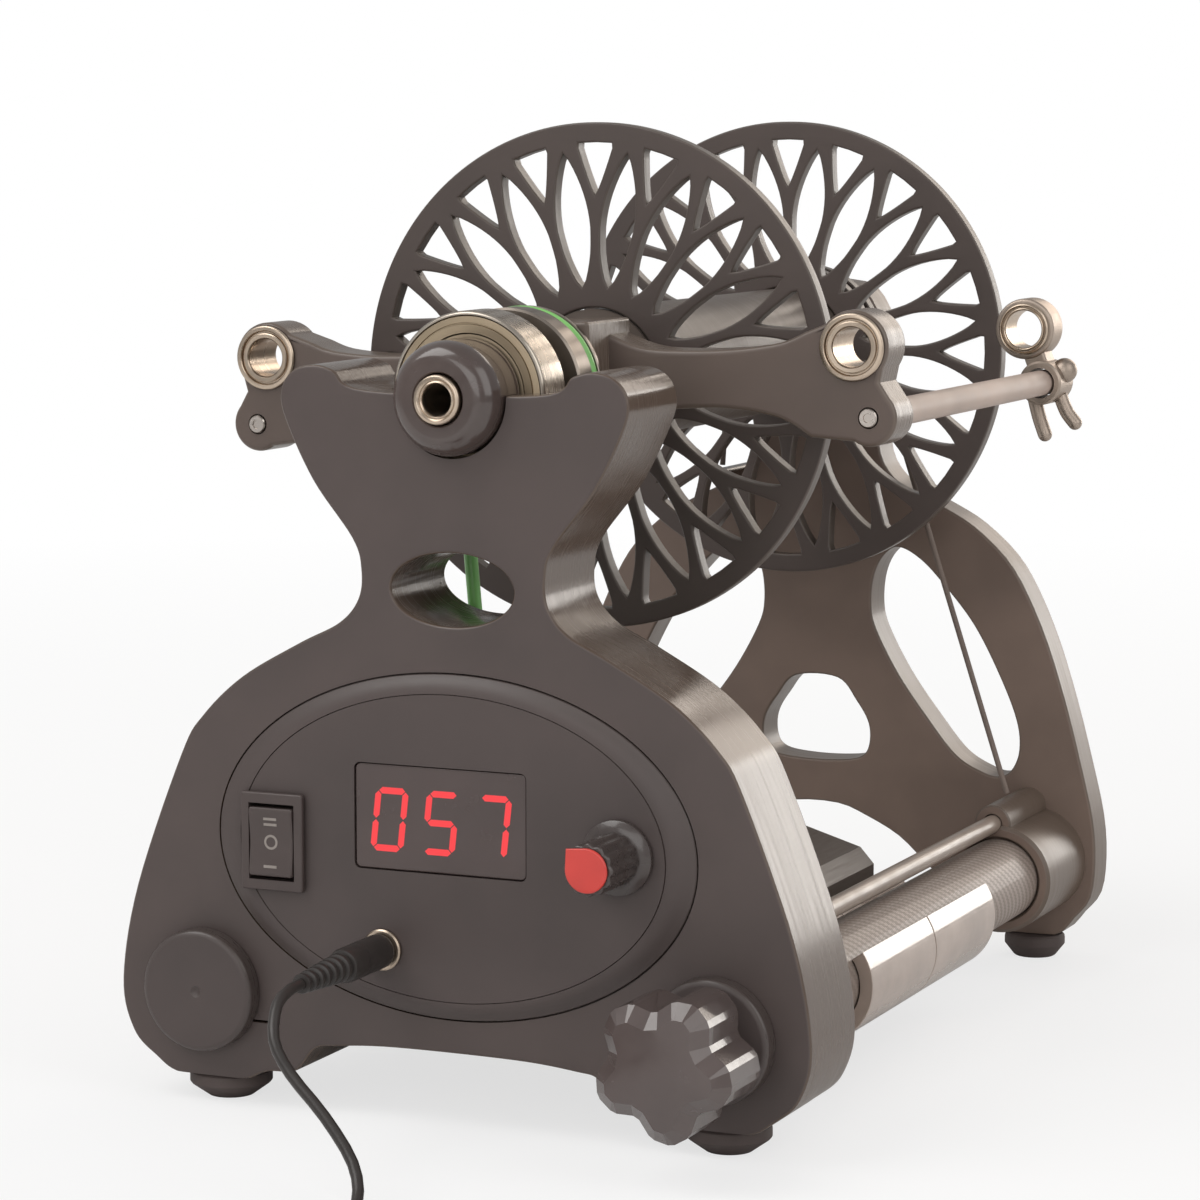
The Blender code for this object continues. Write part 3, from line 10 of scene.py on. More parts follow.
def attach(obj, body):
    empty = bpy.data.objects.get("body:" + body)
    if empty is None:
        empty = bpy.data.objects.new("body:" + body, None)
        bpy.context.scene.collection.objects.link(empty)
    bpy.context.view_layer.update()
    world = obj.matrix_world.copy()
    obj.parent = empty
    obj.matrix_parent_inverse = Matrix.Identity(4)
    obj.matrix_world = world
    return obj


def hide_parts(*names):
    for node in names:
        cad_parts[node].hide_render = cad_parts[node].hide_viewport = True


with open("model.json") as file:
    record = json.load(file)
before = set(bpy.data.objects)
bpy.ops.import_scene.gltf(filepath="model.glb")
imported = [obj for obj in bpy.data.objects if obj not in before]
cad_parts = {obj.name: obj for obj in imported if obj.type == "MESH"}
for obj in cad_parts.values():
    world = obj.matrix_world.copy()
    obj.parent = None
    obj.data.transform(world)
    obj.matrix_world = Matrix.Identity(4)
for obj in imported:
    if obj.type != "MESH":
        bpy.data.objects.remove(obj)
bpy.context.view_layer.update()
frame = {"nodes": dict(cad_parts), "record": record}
bodies = {member: body for body, members in frame["record"]["behaviour"]["bodies"].items()
    for member in members}

# The model's own frame: y = 0 is the front face of the front frame
centre_y = 0.09675
axis_z = 0.154
rest_angle = radians(-2.3)
to_world = Matrix.Translation((0, -centre_y, 0))
on_axis = to_world @ Matrix.Translation((0, 0, axis_z))
on_flyer = on_axis @ Matrix.Rotation(rest_angle, 4, "Y")
sides = ((1, "right"), (-1, "left"))
gap = 0.0003    # between two pieces, and the size of a small chamfer
weld = 0.000004    # points nearer than this become one


def placed(name, data):
    """A new object with the data, in the scene."""
    thing = bpy.data.objects.new(name, data)
    bpy.context.scene.collection.objects.link(thing)
    return thing


# Camera, at the photograph's viewing angle
camera_look_down, camera_turn = radians(7.04), radians(23.87)
camera_data = bpy.data.cameras.new("camera")
camera_data.lens, camera_data.sensor_width = 117.2, 36
camera_data.clip_start, camera_data.clip_end = 0.05, 20
camera = placed("camera", camera_data)
camera.location = (0.3521, -0.7198 - centre_y, 0.2111)
camera.rotation_euler = (radians(90) - camera_look_down, 0, camera_turn)
bpy.context.scene.camera = camera


# ---- making meshes ----

def at(x, y, z, place=to_world):
    """A place moved by x, y and z."""
    return place @ Matrix.Translation((x, y, z))


def smooth(points, steps, closed=True):
    """Points of a smooth curve through the given ones."""
    count = len(points)
    result = []
    for index in range(count if closed else count - 1):
        spots = [(index + k) % count if closed else min(max(index + k, 0), count - 1) for k in (-1, 0, 1, 2)]
        a, b, c, d = (Vector(points[spot]) for spot in spots)
        for step in range(steps):
            t = step / steps
            result.append(((2 * b) + (c - a) * t + (2 * a - 5 * b + 4 * c - d) * t**2
                + (3 * b - a - 3 * c + d) * t**3) / 2)
    if not closed:
        result.append(Vector(points[-1]))
    return result


def ellipse(half_width, half_height, count, centre):
    angles = [2 * pi * i / count for i in range(count)]
    return [(centre[0] + half_width * cos(a), centre[1] + half_height * sin(a)) for a in angles]


def circle(radius, count, centre=(0, 0)):
    return ellipse(radius, radius, count, centre)


def arc(centre, radius, start, end, count):
    angles = [radians(start + (end - start) * i / (count - 1)) for i in range(count)]
    return [(centre[0] + radius * cos(a), centre[1] + radius * sin(a)) for a in angles]


def swept(radius, height, start, sweep, count):
    """Points on a circle about a height on the Z axis, from a start through a sweep."""
    angles = [start + sweep * i / count for i in range(count + 1)]
    return [(radius * cos(a), height + radius * sin(a)) for a in angles]


def round_box(wide, high, corner, x, z, count=7):
    """Outline of a rectangle with round corners."""
    loop = []
    for cx, cz, angle in ((1, 1, 0), (-1, 1, 90), (-1, -1, 180), (1, -1, 270)):
        middle = (x + cx * (wide / 2 - corner), z + cz * (high / 2 - corner))
        loop += arc(middle, corner, angle, angle + 90, count)
    return loop


def turned(profile, place, steps=64, squeeze=1.0):
    """Mesh turned about +Y through the place: (radius, y) pairs, a ring if they start off the axis."""
    shape = bmesh.new()
    points = [shape.verts.new((radius, along, 0)) for radius, along in profile]
    edges = [shape.edges.new((points[i], points[i + 1])) for i in range(len(points) - 1)]
    if profile[0][0] > 0:
        edges.append(shape.edges.new((points[-1], points[0])))
    bmesh.ops.spin(shape, geom=points + edges, cent=(0, 0, 0), axis=(0, 1, 0), angle=2 * pi, steps=steps)
    bmesh.ops.remove_doubles(shape, verts=shape.verts, dist=weld)
    bmesh.ops.recalc_face_normals(shape, faces=shape.faces)
    if squeeze != 1.0:
        bmesh.ops.scale(shape, vec=(1, 1, squeeze), verts=shape.verts)
    return to_mesh(shape, place)


def raised(level, *pairs):
    """Pairs of a profile with their y counted from a level."""
    return [(radius, level + along) for radius, along in pairs]


def drum(radius, start, end, place, steps=64):
    return turned([(0, start), (radius, start), (radius, end), (0, end)], place, steps)


def to_mesh(shape, place):
    mesh = bpy.data.meshes.new("piece")
    shape.to_mesh(mesh)
    shape.free()
    mesh.transform(place)
    return mesh


def joined(meshes):
    shape = bmesh.new()
    for mesh in meshes:
        shape.from_mesh(mesh)
    return to_mesh(shape, Matrix.Identity(4))


def spline_curve(name, kind, loops, radius, resolution, closed=True):
    """Curve with a spline of straight steps through each loop's points."""
    curve = bpy.data.curves.new(name, "CURVE")
    curve.dimensions, curve.bevel_depth, curve.bevel_resolution = kind, radius, resolution
    for loop in loops:
        spline = curve.splines.new("POLY")
        spline.points.add(len(loop) - 1)
        for point, spot in zip(spline.points, loop):
            point.co = (*spot, 1) if kind == "3D" else (*spot, 0, 1)
        spline.use_cyclic_u = closed
    return curve


def plate(loops, front, back, place=to_world, round_by=0.0, segments=2):
    """Mesh of an outline in X and Z with its holes, between two values of y, its edges rounded."""
    curve = spline_curve("outline", "2D", loops, round_by, segments)
    curve.fill_mode = "BOTH"
    curve.extrude = (back - front) / 2 - round_by
    curve.offset = -round_by
    turn = Matrix.Translation((0, (front + back) / 2, 0)) @ Matrix.Rotation(radians(90), 4, "X")
    return from_curve(curve, place @ turn)


def round_line(name, route, radius, closed=False, resolution=4):
    """Curve of a round section along the route."""
    curve = spline_curve(name, "3D", [route], radius, resolution, closed)
    curve.use_fill_caps = not closed
    return curve


def wire(route, radius, place, resolution, closed=False):
    return from_curve(round_line("wire", route, radius, closed, resolution), place)


def evaluated(holder, others=()):
    """The holder's mesh as its modifiers leave it, with the helper objects removed."""
    bpy.context.view_layer.update()
    source = holder.evaluated_get(bpy.context.evaluated_depsgraph_get())
    mesh = bpy.data.meshes.new_from_object(source)
    for thing in (holder, *others):
        bpy.data.objects.remove(thing, do_unlink=True)
    return mesh


def from_curve(curve, place):
    shape = bmesh.new()
    shape.from_mesh(evaluated(placed("holder", curve)))
    bmesh.ops.remove_doubles(shape, verts=shape.verts, dist=weld)
    return to_mesh(shape, place)


def box(size, centre, place=to_world, round_by=0.0, segments=2):
    shape = bmesh.new()
    where = Matrix.Translation(centre) @ Matrix.Diagonal((*size, 1.0))
    bmesh.ops.create_cube(shape, size=1.0, matrix=where)
    if round_by > 0:
        edges = shape.edges[:]
        bmesh.ops.bevel(shape, geom=edges, offset=round_by, segments=segments, affect="EDGES", profile=0.5)
    return to_mesh(shape, place)


def ball(radius, centre, place):
    shape = bmesh.new()
    where = Matrix.Translation(centre)
    bmesh.ops.create_uvsphere(shape, u_segments=24, v_segments=14, radius=radius, matrix=where)
    return to_mesh(shape, place)


def cut(target, cutters, operation="DIFFERENCE"):
    """The target mesh after Booleans with the other meshes."""
    holder = placed("holder", target)
    others = [placed("other", mesh) for mesh in cutters]
    for other in others:
        boolean = holder.modifiers.new("cut", "BOOLEAN")
        boolean.operation, boolean.object, boolean.solver = operation, other, "EXACT"
    return evaluated(holder, others)


def union(target, other):
    return cut(target, [other], "UNION")


def piece(name, mesh, material, node, sharp=32):
    """A visible piece that stands for a node, with flat sides shaded flat and edges past an angle sharp."""
    mesh.materials.clear()
    mesh.materials.append(material)
    mesh.shade_smooth()
    mesh.set_sharp_from_angle(angle=radians(sharp))
    thing = placed(name, mesh)
    thing.modifiers.new("flat_sides", "WEIGHTED_NORMAL").keep_sharp = True
    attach(thing, bodies[node])
    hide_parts(node)
    return thing


def lathe(name, node, material, profile, place, steps=64, sharp=32):
    """A turned piece."""
    return piece(name, turned(profile, place, steps), material, node, sharp=sharp)


# ---- materials ----

def new_node(tree, kind, inputs, **values):
    """A node of a tree with its values and its inputs: plain values or other nodes' outputs."""
    node = tree.nodes.new("ShaderNode" + kind)
    for key, value in values.items():
        setattr(node, key, value)
    for key, value in inputs.items():
        if hasattr(value, "is_output"):
            tree.links.new(value, node.inputs[key])
        else:
            node.inputs[key].default_value = value
    return node


class Nodes:
    """Short calls for building one material's node tree."""

    def __init__(self, name, colour, roughness, metallic=0.0, coat=0.0):
        self.material = bpy.data.materials.new(name)
        self.material.use_nodes = True
        self.tree = self.material.node_tree
        self.shader = self.tree.nodes["Principled BSDF"]
        looks = {"Base Color": (*colour, 1), "Roughness": roughness, "Metallic": metallic,
            "Coat Weight": coat}
        for key, value in looks.items():
            self.shader.inputs[key].default_value = value
        self.material.diffuse_color = (*colour, 1)
        self.coords = self.add("TexCoord").outputs["Object"]

    def add(self, kind, inputs=(), **values):
        return new_node(self.tree, kind, dict(inputs), **values)

    def look(self, value, name):
        """Gives the shader's input of that name the value."""
        self.tree.links.new(value, self.shader.inputs[name])

    def maths(self, operation, *values):
        return self.add("Math", enumerate(values), operation=operation).outputs[0]

    def noise(self, scale, detail, vector=None, roughness=0.5):
        vector = self.coords if vector is None else vector
        inputs = {"Scale": scale, "Detail": detail, "Roughness": roughness, "Vector": vector}
        return self.add("TexNoise", inputs).outputs["Fac"]

    def ramp(self, value, low, high, start=0.0, end=1.0):
        """Value between two inputs spread over a range."""
        return self.add("MapRange", enumerate((value, low, high, start, end))).outputs[0]

    def mix(self, share, first, second, kind="RGBA"):
        first, second = ((*v, 1) if isinstance(v, (tuple, list)) else v for v in (first, second))
        node = self.add("Mix", {"Factor": share, "A": first, "B": second}, data_type=kind)
        return node.outputs["Result"]

    def spread(self, value, colour, low, high, share=0.3):
        """The colour made darker and lighter as the value goes up from a share."""
        return self.mix(self.ramp(value, share, 0.7), [c * low for c in colour], [c * high for c in colour])

    def bump(self, height, distance, strength):
        inputs = {"Strength": strength, "Distance": distance, "Height": height}
        self.look(self.add("Bump", inputs).outputs[0], "Normal")


def mapped(n, scale):
    return n.add("Mapping", {"Scale": scale, "Vector": n.coords}).outputs[0]


def printed(name, face, wall_sheen, along=(35, 2600, 35), gloss=0.36):
    """Printed plastic: matt faces, and side walls with the fine lines of its layers and a colour of their
    own, a painted sheen for the light they catch.
    """
    n = Nodes(name, face, 0.55)
    normal = n.add("SeparateXYZ", {0: n.add("NewGeometry").outputs["Normal"]}).outputs
    flat = n.ramp(n.maths("ABSOLUTE", normal[1]), 0.75, 0.95)
    streaks = n.noise(1.0, 2.0, mapped(n, along), 0.6)
    clouds = n.noise(38, 4.0)
    grain = n.noise(900, 2.0)
    dull = n.spread(clouds, face, 0.86, 1.14)
    # painted sheen: the walls get a colour of their own, which stands in for the light they reflect
    painted_wall_sheen = n.spread(streaks, wall_sheen, 0.92, 1.08)
    n.look(n.mix(flat, painted_wall_sheen, dull), "Base Color")
    wall_rough = n.ramp(streaks, 0.3, 0.7, gloss - 0.06, gloss + 0.1)
    face_rough = n.ramp(clouds, 0.3, 0.7, 0.5, 0.62)
    n.look(n.mix(flat, wall_rough, face_rough, "FLOAT"), "Roughness")
    height = n.maths("ADD", n.maths("MULTIPLY", streaks, n.maths("SUBTRACT", 1.05, flat)),
        n.maths("MULTIPLY", grain, 0.22))
    n.bump(height, 0.00006, 0.16)
    return n.material


def moulded(name, colour, roughness, coat=0.0):
    n = Nodes(name, colour, roughness, 0.0, coat)
    clouds = n.noise(60, 4.0)
    n.look(n.spread(clouds, colour, 0.85, 1.15), "Base Color")
    n.look(n.ramp(n.noise(240, 3.0), 0.3, 0.7, roughness - 0.05, roughness + 0.08), "Roughness")
    n.bump(n.noise(1600, 2.0), 0.00003, 0.35)
    return n.material


def steel(name, colour, roughness, along):
    """Turned or brushed metal with fine tool marks and slight stains."""
    n = Nodes(name, colour, roughness, 1.0)
    streaks = n.noise(1.0, 3.0, mapped(n, along), 0.65)
    stains = n.noise(70, 5.0)
    n.look(n.spread(stains, colour, 0.84, 1, 0.35), "Base Color")
    marks = n.ramp(streaks, 0.3, 0.7, roughness - 0.06, roughness + 0.07)
    n.look(n.maths("ADD", marks, n.ramp(stains, 0.4, 0.7, 0.0, 0.06)), "Roughness")
    n.bump(streaks, 0.00002, 0.15)
    return n.material


def woven(name, middles, dark, light, pitch, count, gloss):
    """Twill of carbon tows round tubes that run along Y: (x, z) of each tube's middle."""
    n = Nodes(name, dark, gloss, 0.0, 0.1)
    x, y, z = n.add("SeparateXYZ", {0: n.coords}).outputs
    parts = []
    for mid_x, mid_z in middles:
        dx = n.maths("SUBTRACT", x, mid_x)
        angle = n.maths("ARCTAN2", n.maths("SUBTRACT", z, mid_z), dx)
        near = n.maths("LESS_THAN", n.maths("ABSOLUTE", dx), 0.03)
        parts.append(n.maths("MULTIPLY", angle, near))
    around = n.maths("MULTIPLY", n.maths("ADD", *parts), count / (2 * pi))
    along = n.maths("DIVIDE", y, pitch)
    first, second = (n.maths("FLOOR", value) for value in (around, along))
    sort = n.maths("FLOORED_MODULO", n.maths("ADD", first, second), 4.0)
    over = n.maths("LESS_THAN", sort, 2.0)
    crown_a, crown_b = (n.maths("ABSOLUTE", n.maths("SINE", n.maths("MULTIPLY", value, pi)))
        for value in (around, along))
    tow = n.mix(over, crown_a, crown_b, "FLOAT")
    strands = n.noise(2400, 2.0)
    # painted sheen and painted shade: the over tows are lighter than the under tows, and the crown ramp
    # darkens each tow towards its edges; the fine strands are real
    weave_sheen_and_strands = n.maths("ADD", n.maths("MULTIPLY", over, 0.55), n.maths("MULTIPLY", strands, 0.45))
    n.look(n.mix(n.maths("MULTIPLY", weave_sheen_and_strands, n.ramp(tow, 0.0, 0.7)), dark, light), "Base Color")
    n.look(n.ramp(over, 0, 1, gloss + 0.12, gloss), "Roughness")
    n.bump(tow, 0.00008, 0.3)
    return n.material


m_frame = printed("frame_plastic", (0.07, 0.052, 0.048), (0.092, 0.065, 0.05), gloss=0.2)
# painted light: the rear frame's colours are set lighter than the other printed plastic, to stand in for the
# light that falls on it
m_rear_lit_copy = printed("rear_plastic_lit_copy", (0.182, 0.13, 0.104), (0.122, 0.09, 0.07), gloss=0.34)
m_panel = printed("panel_plastic", (0.064, 0.048, 0.045), (0.064, 0.05, 0.046), (300, 3000, 300), 0.3)
m_flyer = printed("flyer_plastic", (0.098, 0.071, 0.059), (0.118, 0.089, 0.071), gloss=0.28)
m_bobbin = printed("bobbin_plastic", (0.064, 0.047, 0.041), (0.095, 0.076, 0.064))
m_housing = printed("housing_plastic", (0.068, 0.05, 0.041), (0.074, 0.056, 0.046), (60, 60, 2600), 0.44)
m_gloss = moulded("hub_plastic", (0.066, 0.047, 0.042), 0.2, 0.5)
m_knob = moulded("knob_plastic", (0.052, 0.04, 0.037), 0.26, 0.3)
m_star = moulded("star_plastic", (0.08, 0.06, 0.056), 0.2, 0.5)
m_switch = moulded("switch_plastic", (0.06, 0.044, 0.041), 0.42)
m_mark = moulded("mark_paint", (0.25, 0.22, 0.2), 0.5)
m_rubber = moulded("foot_rubber", (0.072, 0.054, 0.05), 0.7)
m_cord = moulded("lead_sheath", (0.03, 0.025, 0.023), 0.38)
m_red = moulded("red_plastic", (0.58, 0.045, 0.035), 0.35, 0.2)
m_belt = moulded("belt_urethane", (0.2, 0.5, 0.14), 0.34, 0.1)
m_line = moulded("brake_line", (0.17, 0.132, 0.112), 0.7)
m_lens = moulded("display_lens", (0.06, 0.04, 0.037), 0.2, 0.3)
m_board = moulded("board_mask", (0.02, 0.1, 0.045), 0.4)
m_steel = steel("bright_steel", (0.66, 0.63, 0.59), 0.22, (700, 12, 700))
m_race = steel("race_steel", (0.56, 0.5, 0.43), 0.24, (30, 1800, 30))
m_shield = steel("shield_brass", (0.46, 0.37, 0.26), 0.42, (30, 30, 30))
m_brass = steel("eyelet_metal", (0.56, 0.46, 0.365), 0.28, (30, 1800, 30))
m_guide = steel("guide_metal", (0.42, 0.35, 0.295), 0.42, (200, 200, 200))
m_pulley = steel("pulley_metal", (0.3, 0.26, 0.225), 0.32, (30, 1800, 30))
m_rod = steel("rod_steel", (0.55, 0.5, 0.46), 0.25, (600, 14, 600))
m_tie = moulded("tie_steel", (0.26, 0.205, 0.17), 0.36, 0.2)
m_sleeve = moulded("sleeve_metal", (0.37, 0.295, 0.25), 0.17, 0.5)
m_carbon = woven("tube_carbon", ((0.0592, 0.0252), (-0.0592, 0.0252)), (0.19, 0.15, 0.128),
    (0.33, 0.27, 0.235), 0.0007, 64, 0.45)
m_rod_carbon = moulded("rod_carbon", (0.4, 0.315, 0.27), 0.5)


def glowing(name, colour, strength):
    """Plastic that shines in its colour."""
    base = [c * 0.3 for c in colour]
    n = Nodes(name, base, 0.4)
    n.shader.inputs["Emission Color"].default_value = (*colour, 1)
    n.shader.inputs["Emission Strength"].default_value = strength
    n.look(n.mix(n.noise(600, 2.0), base, [c * 0.8 for c in base]), "Base Color")
    return n.material


m_digit = glowing("lit_segment", (0.8, 0.042, 0.05), 0.95)


# ---- the power lead: free run, coil and plugs ----

lead_radius = 0.0012
lead_run = ((-0.0153, -0.0427, 0.0377), (-0.015, -0.049, 0.0358), (-0.0128, -0.0545, 0.03),
    (-0.0078, -0.057, 0.0242), (0.0012, -0.0598, 0.0172), (0.0092, -0.0634, 0.0096), (0.0132, -0.0695, 0.004),
    (0.014, -0.079, 0.0016), (0.0134, -0.093, 0.0013), (0.0122, -0.111, 0.0015), (0.012, -0.127, 0.0021),
    (0.012, -0.1335, 0.0024))
jack_x, jack_z = -0.0153, 0.0378
plug_seat = -0.0035
plug_length, relief_length, plug_radius = 0.017, 0.018, 0.0037
coil_spacing, coil_layers, coil_turns, coil_middle = 0.0029, 4, 2.8125, 0.0156
coil_outer = coil_middle + coil_turns * coil_spacing / 2
tie_thick = 0.0008
coil_bottom = lead_radius + tie_thick + 0.0004


def climb_share(turn):
    """Layers climbed after so many turns, each with a soft start and end."""
    climbed = 0.0
    for layer in range(1, coil_layers):
        share = min(max((turn - layer * coil_turns) * 2 + 0.5, 0.0), 1.0)
        climbed += share * share * (3 - 2 * share)
    return climbed


def lead_route():
    """The whole lead's line: the free run, the coil, and the tail that comes down beside it."""
    route = [Vector((jack_x, plug_seat - plug_length - gap - relief_length, jack_z))]
    route += smooth(lead_run, 3, closed=False)
    start_x, start_y = lead_run[-1][:2]
    centre = Vector((start_x - coil_outer, start_y - gap - 2 * lead_radius))
    turns = coil_layers * coil_turns
    count = round(turns * 24)
    for index in range(count + 1):
        turn = turns * index / count
        layer = min(int(turn / coil_turns), coil_layers - 1)
        into = turn - layer * coil_turns
        radius = coil_outer - coil_spacing * (into if layer % 2 == 0 else coil_turns - into)
        angle = -2 * pi * turn
        route.append(Vector((centre.x + radius * cos(angle), centre.y + radius * sin(angle),
            coil_bottom + coil_spacing * climb_share(turn))))
    end = route[-1].copy()
    heading = route[-1] - route[-2]
    heading.z = 0
    heading.normalize()
    for index in range(1, 11):
        share = index / 10
        fall = share * share * (3 - 2 * share)
        spot = end + heading * (0.006 + 0.018 * share)
        spot.z = end.z + (plug_radius - end.z) * fall
        route.append(spot)
    route.append(route[-1] + heading * 2 * lead_radius)
    return route, centre, heading


route, coil_centre, heading = lead_route()
route = [to_world @ p for p in route]
lead_curve = round_line("power_lead", route, lead_radius)
lead_curve.materials.append(m_cord)
lead = placed("power_lead", lead_curve)
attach(lead, "frame")
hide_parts("power_cord", "cord_coil")


def plug_mesh(place):
    """Pin, grip with a waist, and a ribbed relief."""
    back = -plug_length
    profile = [(0, 0.009), (0.0026, 0.009), (0.0028, 0.0088), (0.0028, 0), (0.0031, 0), (0.0036, -0.0004),
        (plug_radius, -0.0012), (plug_radius, -0.0096), (0.00345, -0.0102), (0.00345, -0.011),
        (plug_radius, -0.0116), (plug_radius, back + 0.001), (0.0034, back)]
    ribs = 7
    step = relief_length / ribs
    for index in range(ribs):
        radius = 0.0031 - 0.0012 * index / ribs
        along = back - step * index
        for share, drop in ((0.08, 0.0006), (0.38, 0.0006), (0.5, 0.0001), (0.58, 0.0), (0.9, 0.0),
                (0.98, 0.0001)):
            profile.append((radius - drop, along - step * share))
    profile.append((0, back - relief_length))
    return turned(profile, place, 32)


lead_end = route[-1]
plug_piece = piece("plug_in_socket", plug_mesh(at(jack_x, plug_seat, jack_z)), m_cord, "power_plug")
far_place = (Matrix.Translation(lead_end + heading * (gap + relief_length + plug_length))
    @ Matrix.Rotation(atan2(heading.y, heading.x) - radians(90), 4, "Z"))
far_piece = piece("plug_at_far_end", plug_mesh(far_place), m_cord, "far_plug")
half = coil_turns * coil_spacing / 2 + lead_radius + 0.0007
high = coil_bottom + (coil_layers - 1) * coil_spacing + lead_radius + gap
tie_mid = (coil_centre.x - coil_middle, (tie_thick + high) / 2)
tie_loops = [round_box(2 * (half + grow), high - tie_thick + 2 * grow, 0.0012 + grow, *tie_mid, 6)
    for grow in (tie_thick, 0.0)]
tie_piece = piece("lead_tie", plate(tie_loops, coil_centre.y - 0.0025, coil_centre.y + 0.0025, to_world,
    0.0002, 1), m_rubber, "coil_tie")


# ---- the two frames ----

horn_shares = ((0.4929, 0.969), (0.6929, 0.994), (0.8182, 1.0), (0.9354, 0.991), (1.0, 0.966),
    (0.9778, 0.929), (0.8141, 0.849), (0.5838, 0.775), (0.5333, 0.735), (0.5515, 0.696))
leg_shares = ((0.33, 0.663), (0.448, 0.633), (0.619, 0.584), (0.74, 0.529), (0.81, 0.473), (0.95, 0.29),
    (1.0, 0.16), (0.97, 0.09), (0.9, 0.056), (0.82, 0.0355), (0.64, 0.0355), (0.56, 0.05), (0.47, 0.056),
    (0.413, 0.088), (0.35, 0.095), (0.175, 0.1015))
rear_shares = ((0.12, 0.986), (0.208, 0.948), (0.24, 0.895), (0.228, 0.843), (0.215, 0.79), (0.225, 0.735),
    (0.275, 0.7), (0.36, 0.679), (0.46, 0.658), (0.56, 0.633), (0.675, 0.588), (0.752, 0.536), (0.826, 0.463),
    (0.891, 0.377), (0.947, 0.287), (0.989, 0.209), (1.0, 0.147), (0.985, 0.094), (0.93, 0.062),
    (0.86, 0.034), (0.68, 0.032), (0.62, 0.05), (0.53, 0.078), (0.4, 0.127), (0.304, 0.164), (0.19, 0.19),
    (0.08, 0.207))
middle_hole_shares = ((0.075, 0.397), (0.145, 0.364), (0.19, 0.33), (0.19, 0.296), (0.155, 0.279),
    (0.06, 0.273))
leaf_hole_shares = ((0.293, 0.597), (0.24, 0.584), (0.205, 0.553), (0.196, 0.509), (0.216, 0.472),
    (0.299, 0.406), (0.408, 0.342), (0.507, 0.292), (0.605, 0.269), (0.66, 0.265), (0.703, 0.276),
    (0.728, 0.306), (0.717, 0.35), (0.655, 0.415), (0.564, 0.487), (0.456, 0.544), (0.372, 0.58))
tube_x, tube_z, tube_r = 0.0592, 0.0252, 0.01
depth = 0.026
floor_gap = 0.006


def sized(shares, width, height):
    return [(x * width, z * height) for x, z in shares]


def mirrored(right):
    return list(right) + [(-x, z) for x, z in reversed(right)]


def thinned(points):
    """The loop without points that sit almost on the one before."""
    kept = []
    for point in points:
        if not kept or (Vector(point) - Vector(kept[-1])).length > 0.00012:
            kept.append(point)
    return kept


def cradle(radius):
    """Round seat for a bearing, open at the top."""
    return swept(radius, axis_z, pi, pi, 64) + [(radius, axis_z + radius), (-radius, axis_z + radius)]


outline = smooth(mirrored(sized(horn_shares, 0.0396, 0.16) + sized(leg_shares, 0.08, 0.16)), 7)
window = ellipse(0.0141, 0.0077, 72, (0, 0.1142))
bores = [circle(tube_r + gap, 56, (side * tube_x, tube_z)) for side in (1, -1)]
front = plate([thinned(outline), window, *bores], 0, depth, to_world, 0.0007, 2)
panel_w, panel_h, panel_z = 0.0551, 0.0365, 0.0602
slits = [box((0.013, depth + 0.002, 0.0006), (side * 0.0477, depth / 2, 0.019)) for side in (1, -1)]
front = cut(front, [plate([ellipse(panel_w + gap, panel_h + gap, 128, (0, panel_z))], -0.001, 0.0015),
    plate([ellipse(0.0512, 0.0325, 96, (0, panel_z))], -0.001, 0.0215),
    plate([cradle(0.0126)], -0.001, 0.0099), plate([cradle(0.0178)], 0.0079, depth + 0.001),
    box((0.24, depth + 0.01, 2 * floor_gap), (0, depth / 2, 0)), *slits])
piece("front_frame_shape", front, m_frame, "front_frame", sharp=40)

rear_face, rear_depth = 0.2135, 0.011
rear_back = rear_face + rear_depth
rear_loop = thinned(smooth(mirrored(sized(rear_shares, 0.075, 0.172)), 3))
middle_hole = smooth(mirrored(sized(middle_hole_shares, 0.075, 0.172)), 6)
leaf = smooth(sized(leaf_hole_shares, 0.075, 0.172), 6)
rear = plate([rear_loop, middle_hole, leaf, [(-x, z) for x, z in leaf]], rear_face, rear_back, to_world,
    0.0007, 2)
rear = cut(rear, [box((0.24, rear_depth + 0.01, 2 * floor_gap), (0, rear_face + rear_depth / 2, 0)),
    drum(0.0113, rear_face + 0.0076, rear_face - 0.001, on_axis)])
piece("rear_frame_shape", rear, m_rear_lit_copy, "rear_frame", sharp=40)
socket_y = rear_face - 0.03
for side, word in sides:
    here = at(side * tube_x, 0, tube_z)
    lathe(f"rear_socket_{word}", "rear_frame", m_rear_lit_copy, raised(rear_back, (0.0103, -0.004), (0.0121, -0.0005),
        (0.0133, -0.0012)) + raised(socket_y, (0.0133, 0.0008), (0.0127, 0.0002), (0.0124, 0), (0.0108, 0),
        (0.0103, 0.0005)), here)
    piece(f"rear_socket_end_{word}", drum(0.0126, rear_back - 0.005, rear_back - 0.0011, here), m_frame,
        "rear_frame")
rod_x, rod_z, cord_x, rod_lug_r = 0.0574, 0.0388, 0.056, 0.0046
lathe("tie_rod_lug", "rear_frame", m_rear_lit_copy, raised(rear_back, (0, -0.003),
    (rod_lug_r, -0.003)) + raised(socket_y, (rod_lug_r, 0.0014), (0.0042, 0.001), (0.0025, 0.001),
    (0.0025, 0.0065), (0, 0.0065)), at(rod_x, 0, rod_z))
flange_deep, rear_flange = 0.004, 0.1908
groove_y = rear_flange + flange_deep + gap + 0.005
post_x, post_z, post_r = -0.0208, 0.1206, 0.002
lathe("cord_post", "rear_frame", m_frame, [(0, rear_face + 0.004), (post_r, rear_face + 0.004),
    (post_r, groove_y - 0.0009), (0.0015, groove_y - 0.0014), (0, groove_y - 0.0014)], at(post_x, 0, post_z),
    24)

# ---- tubes, caps, tie rod, sleeves and feet ----

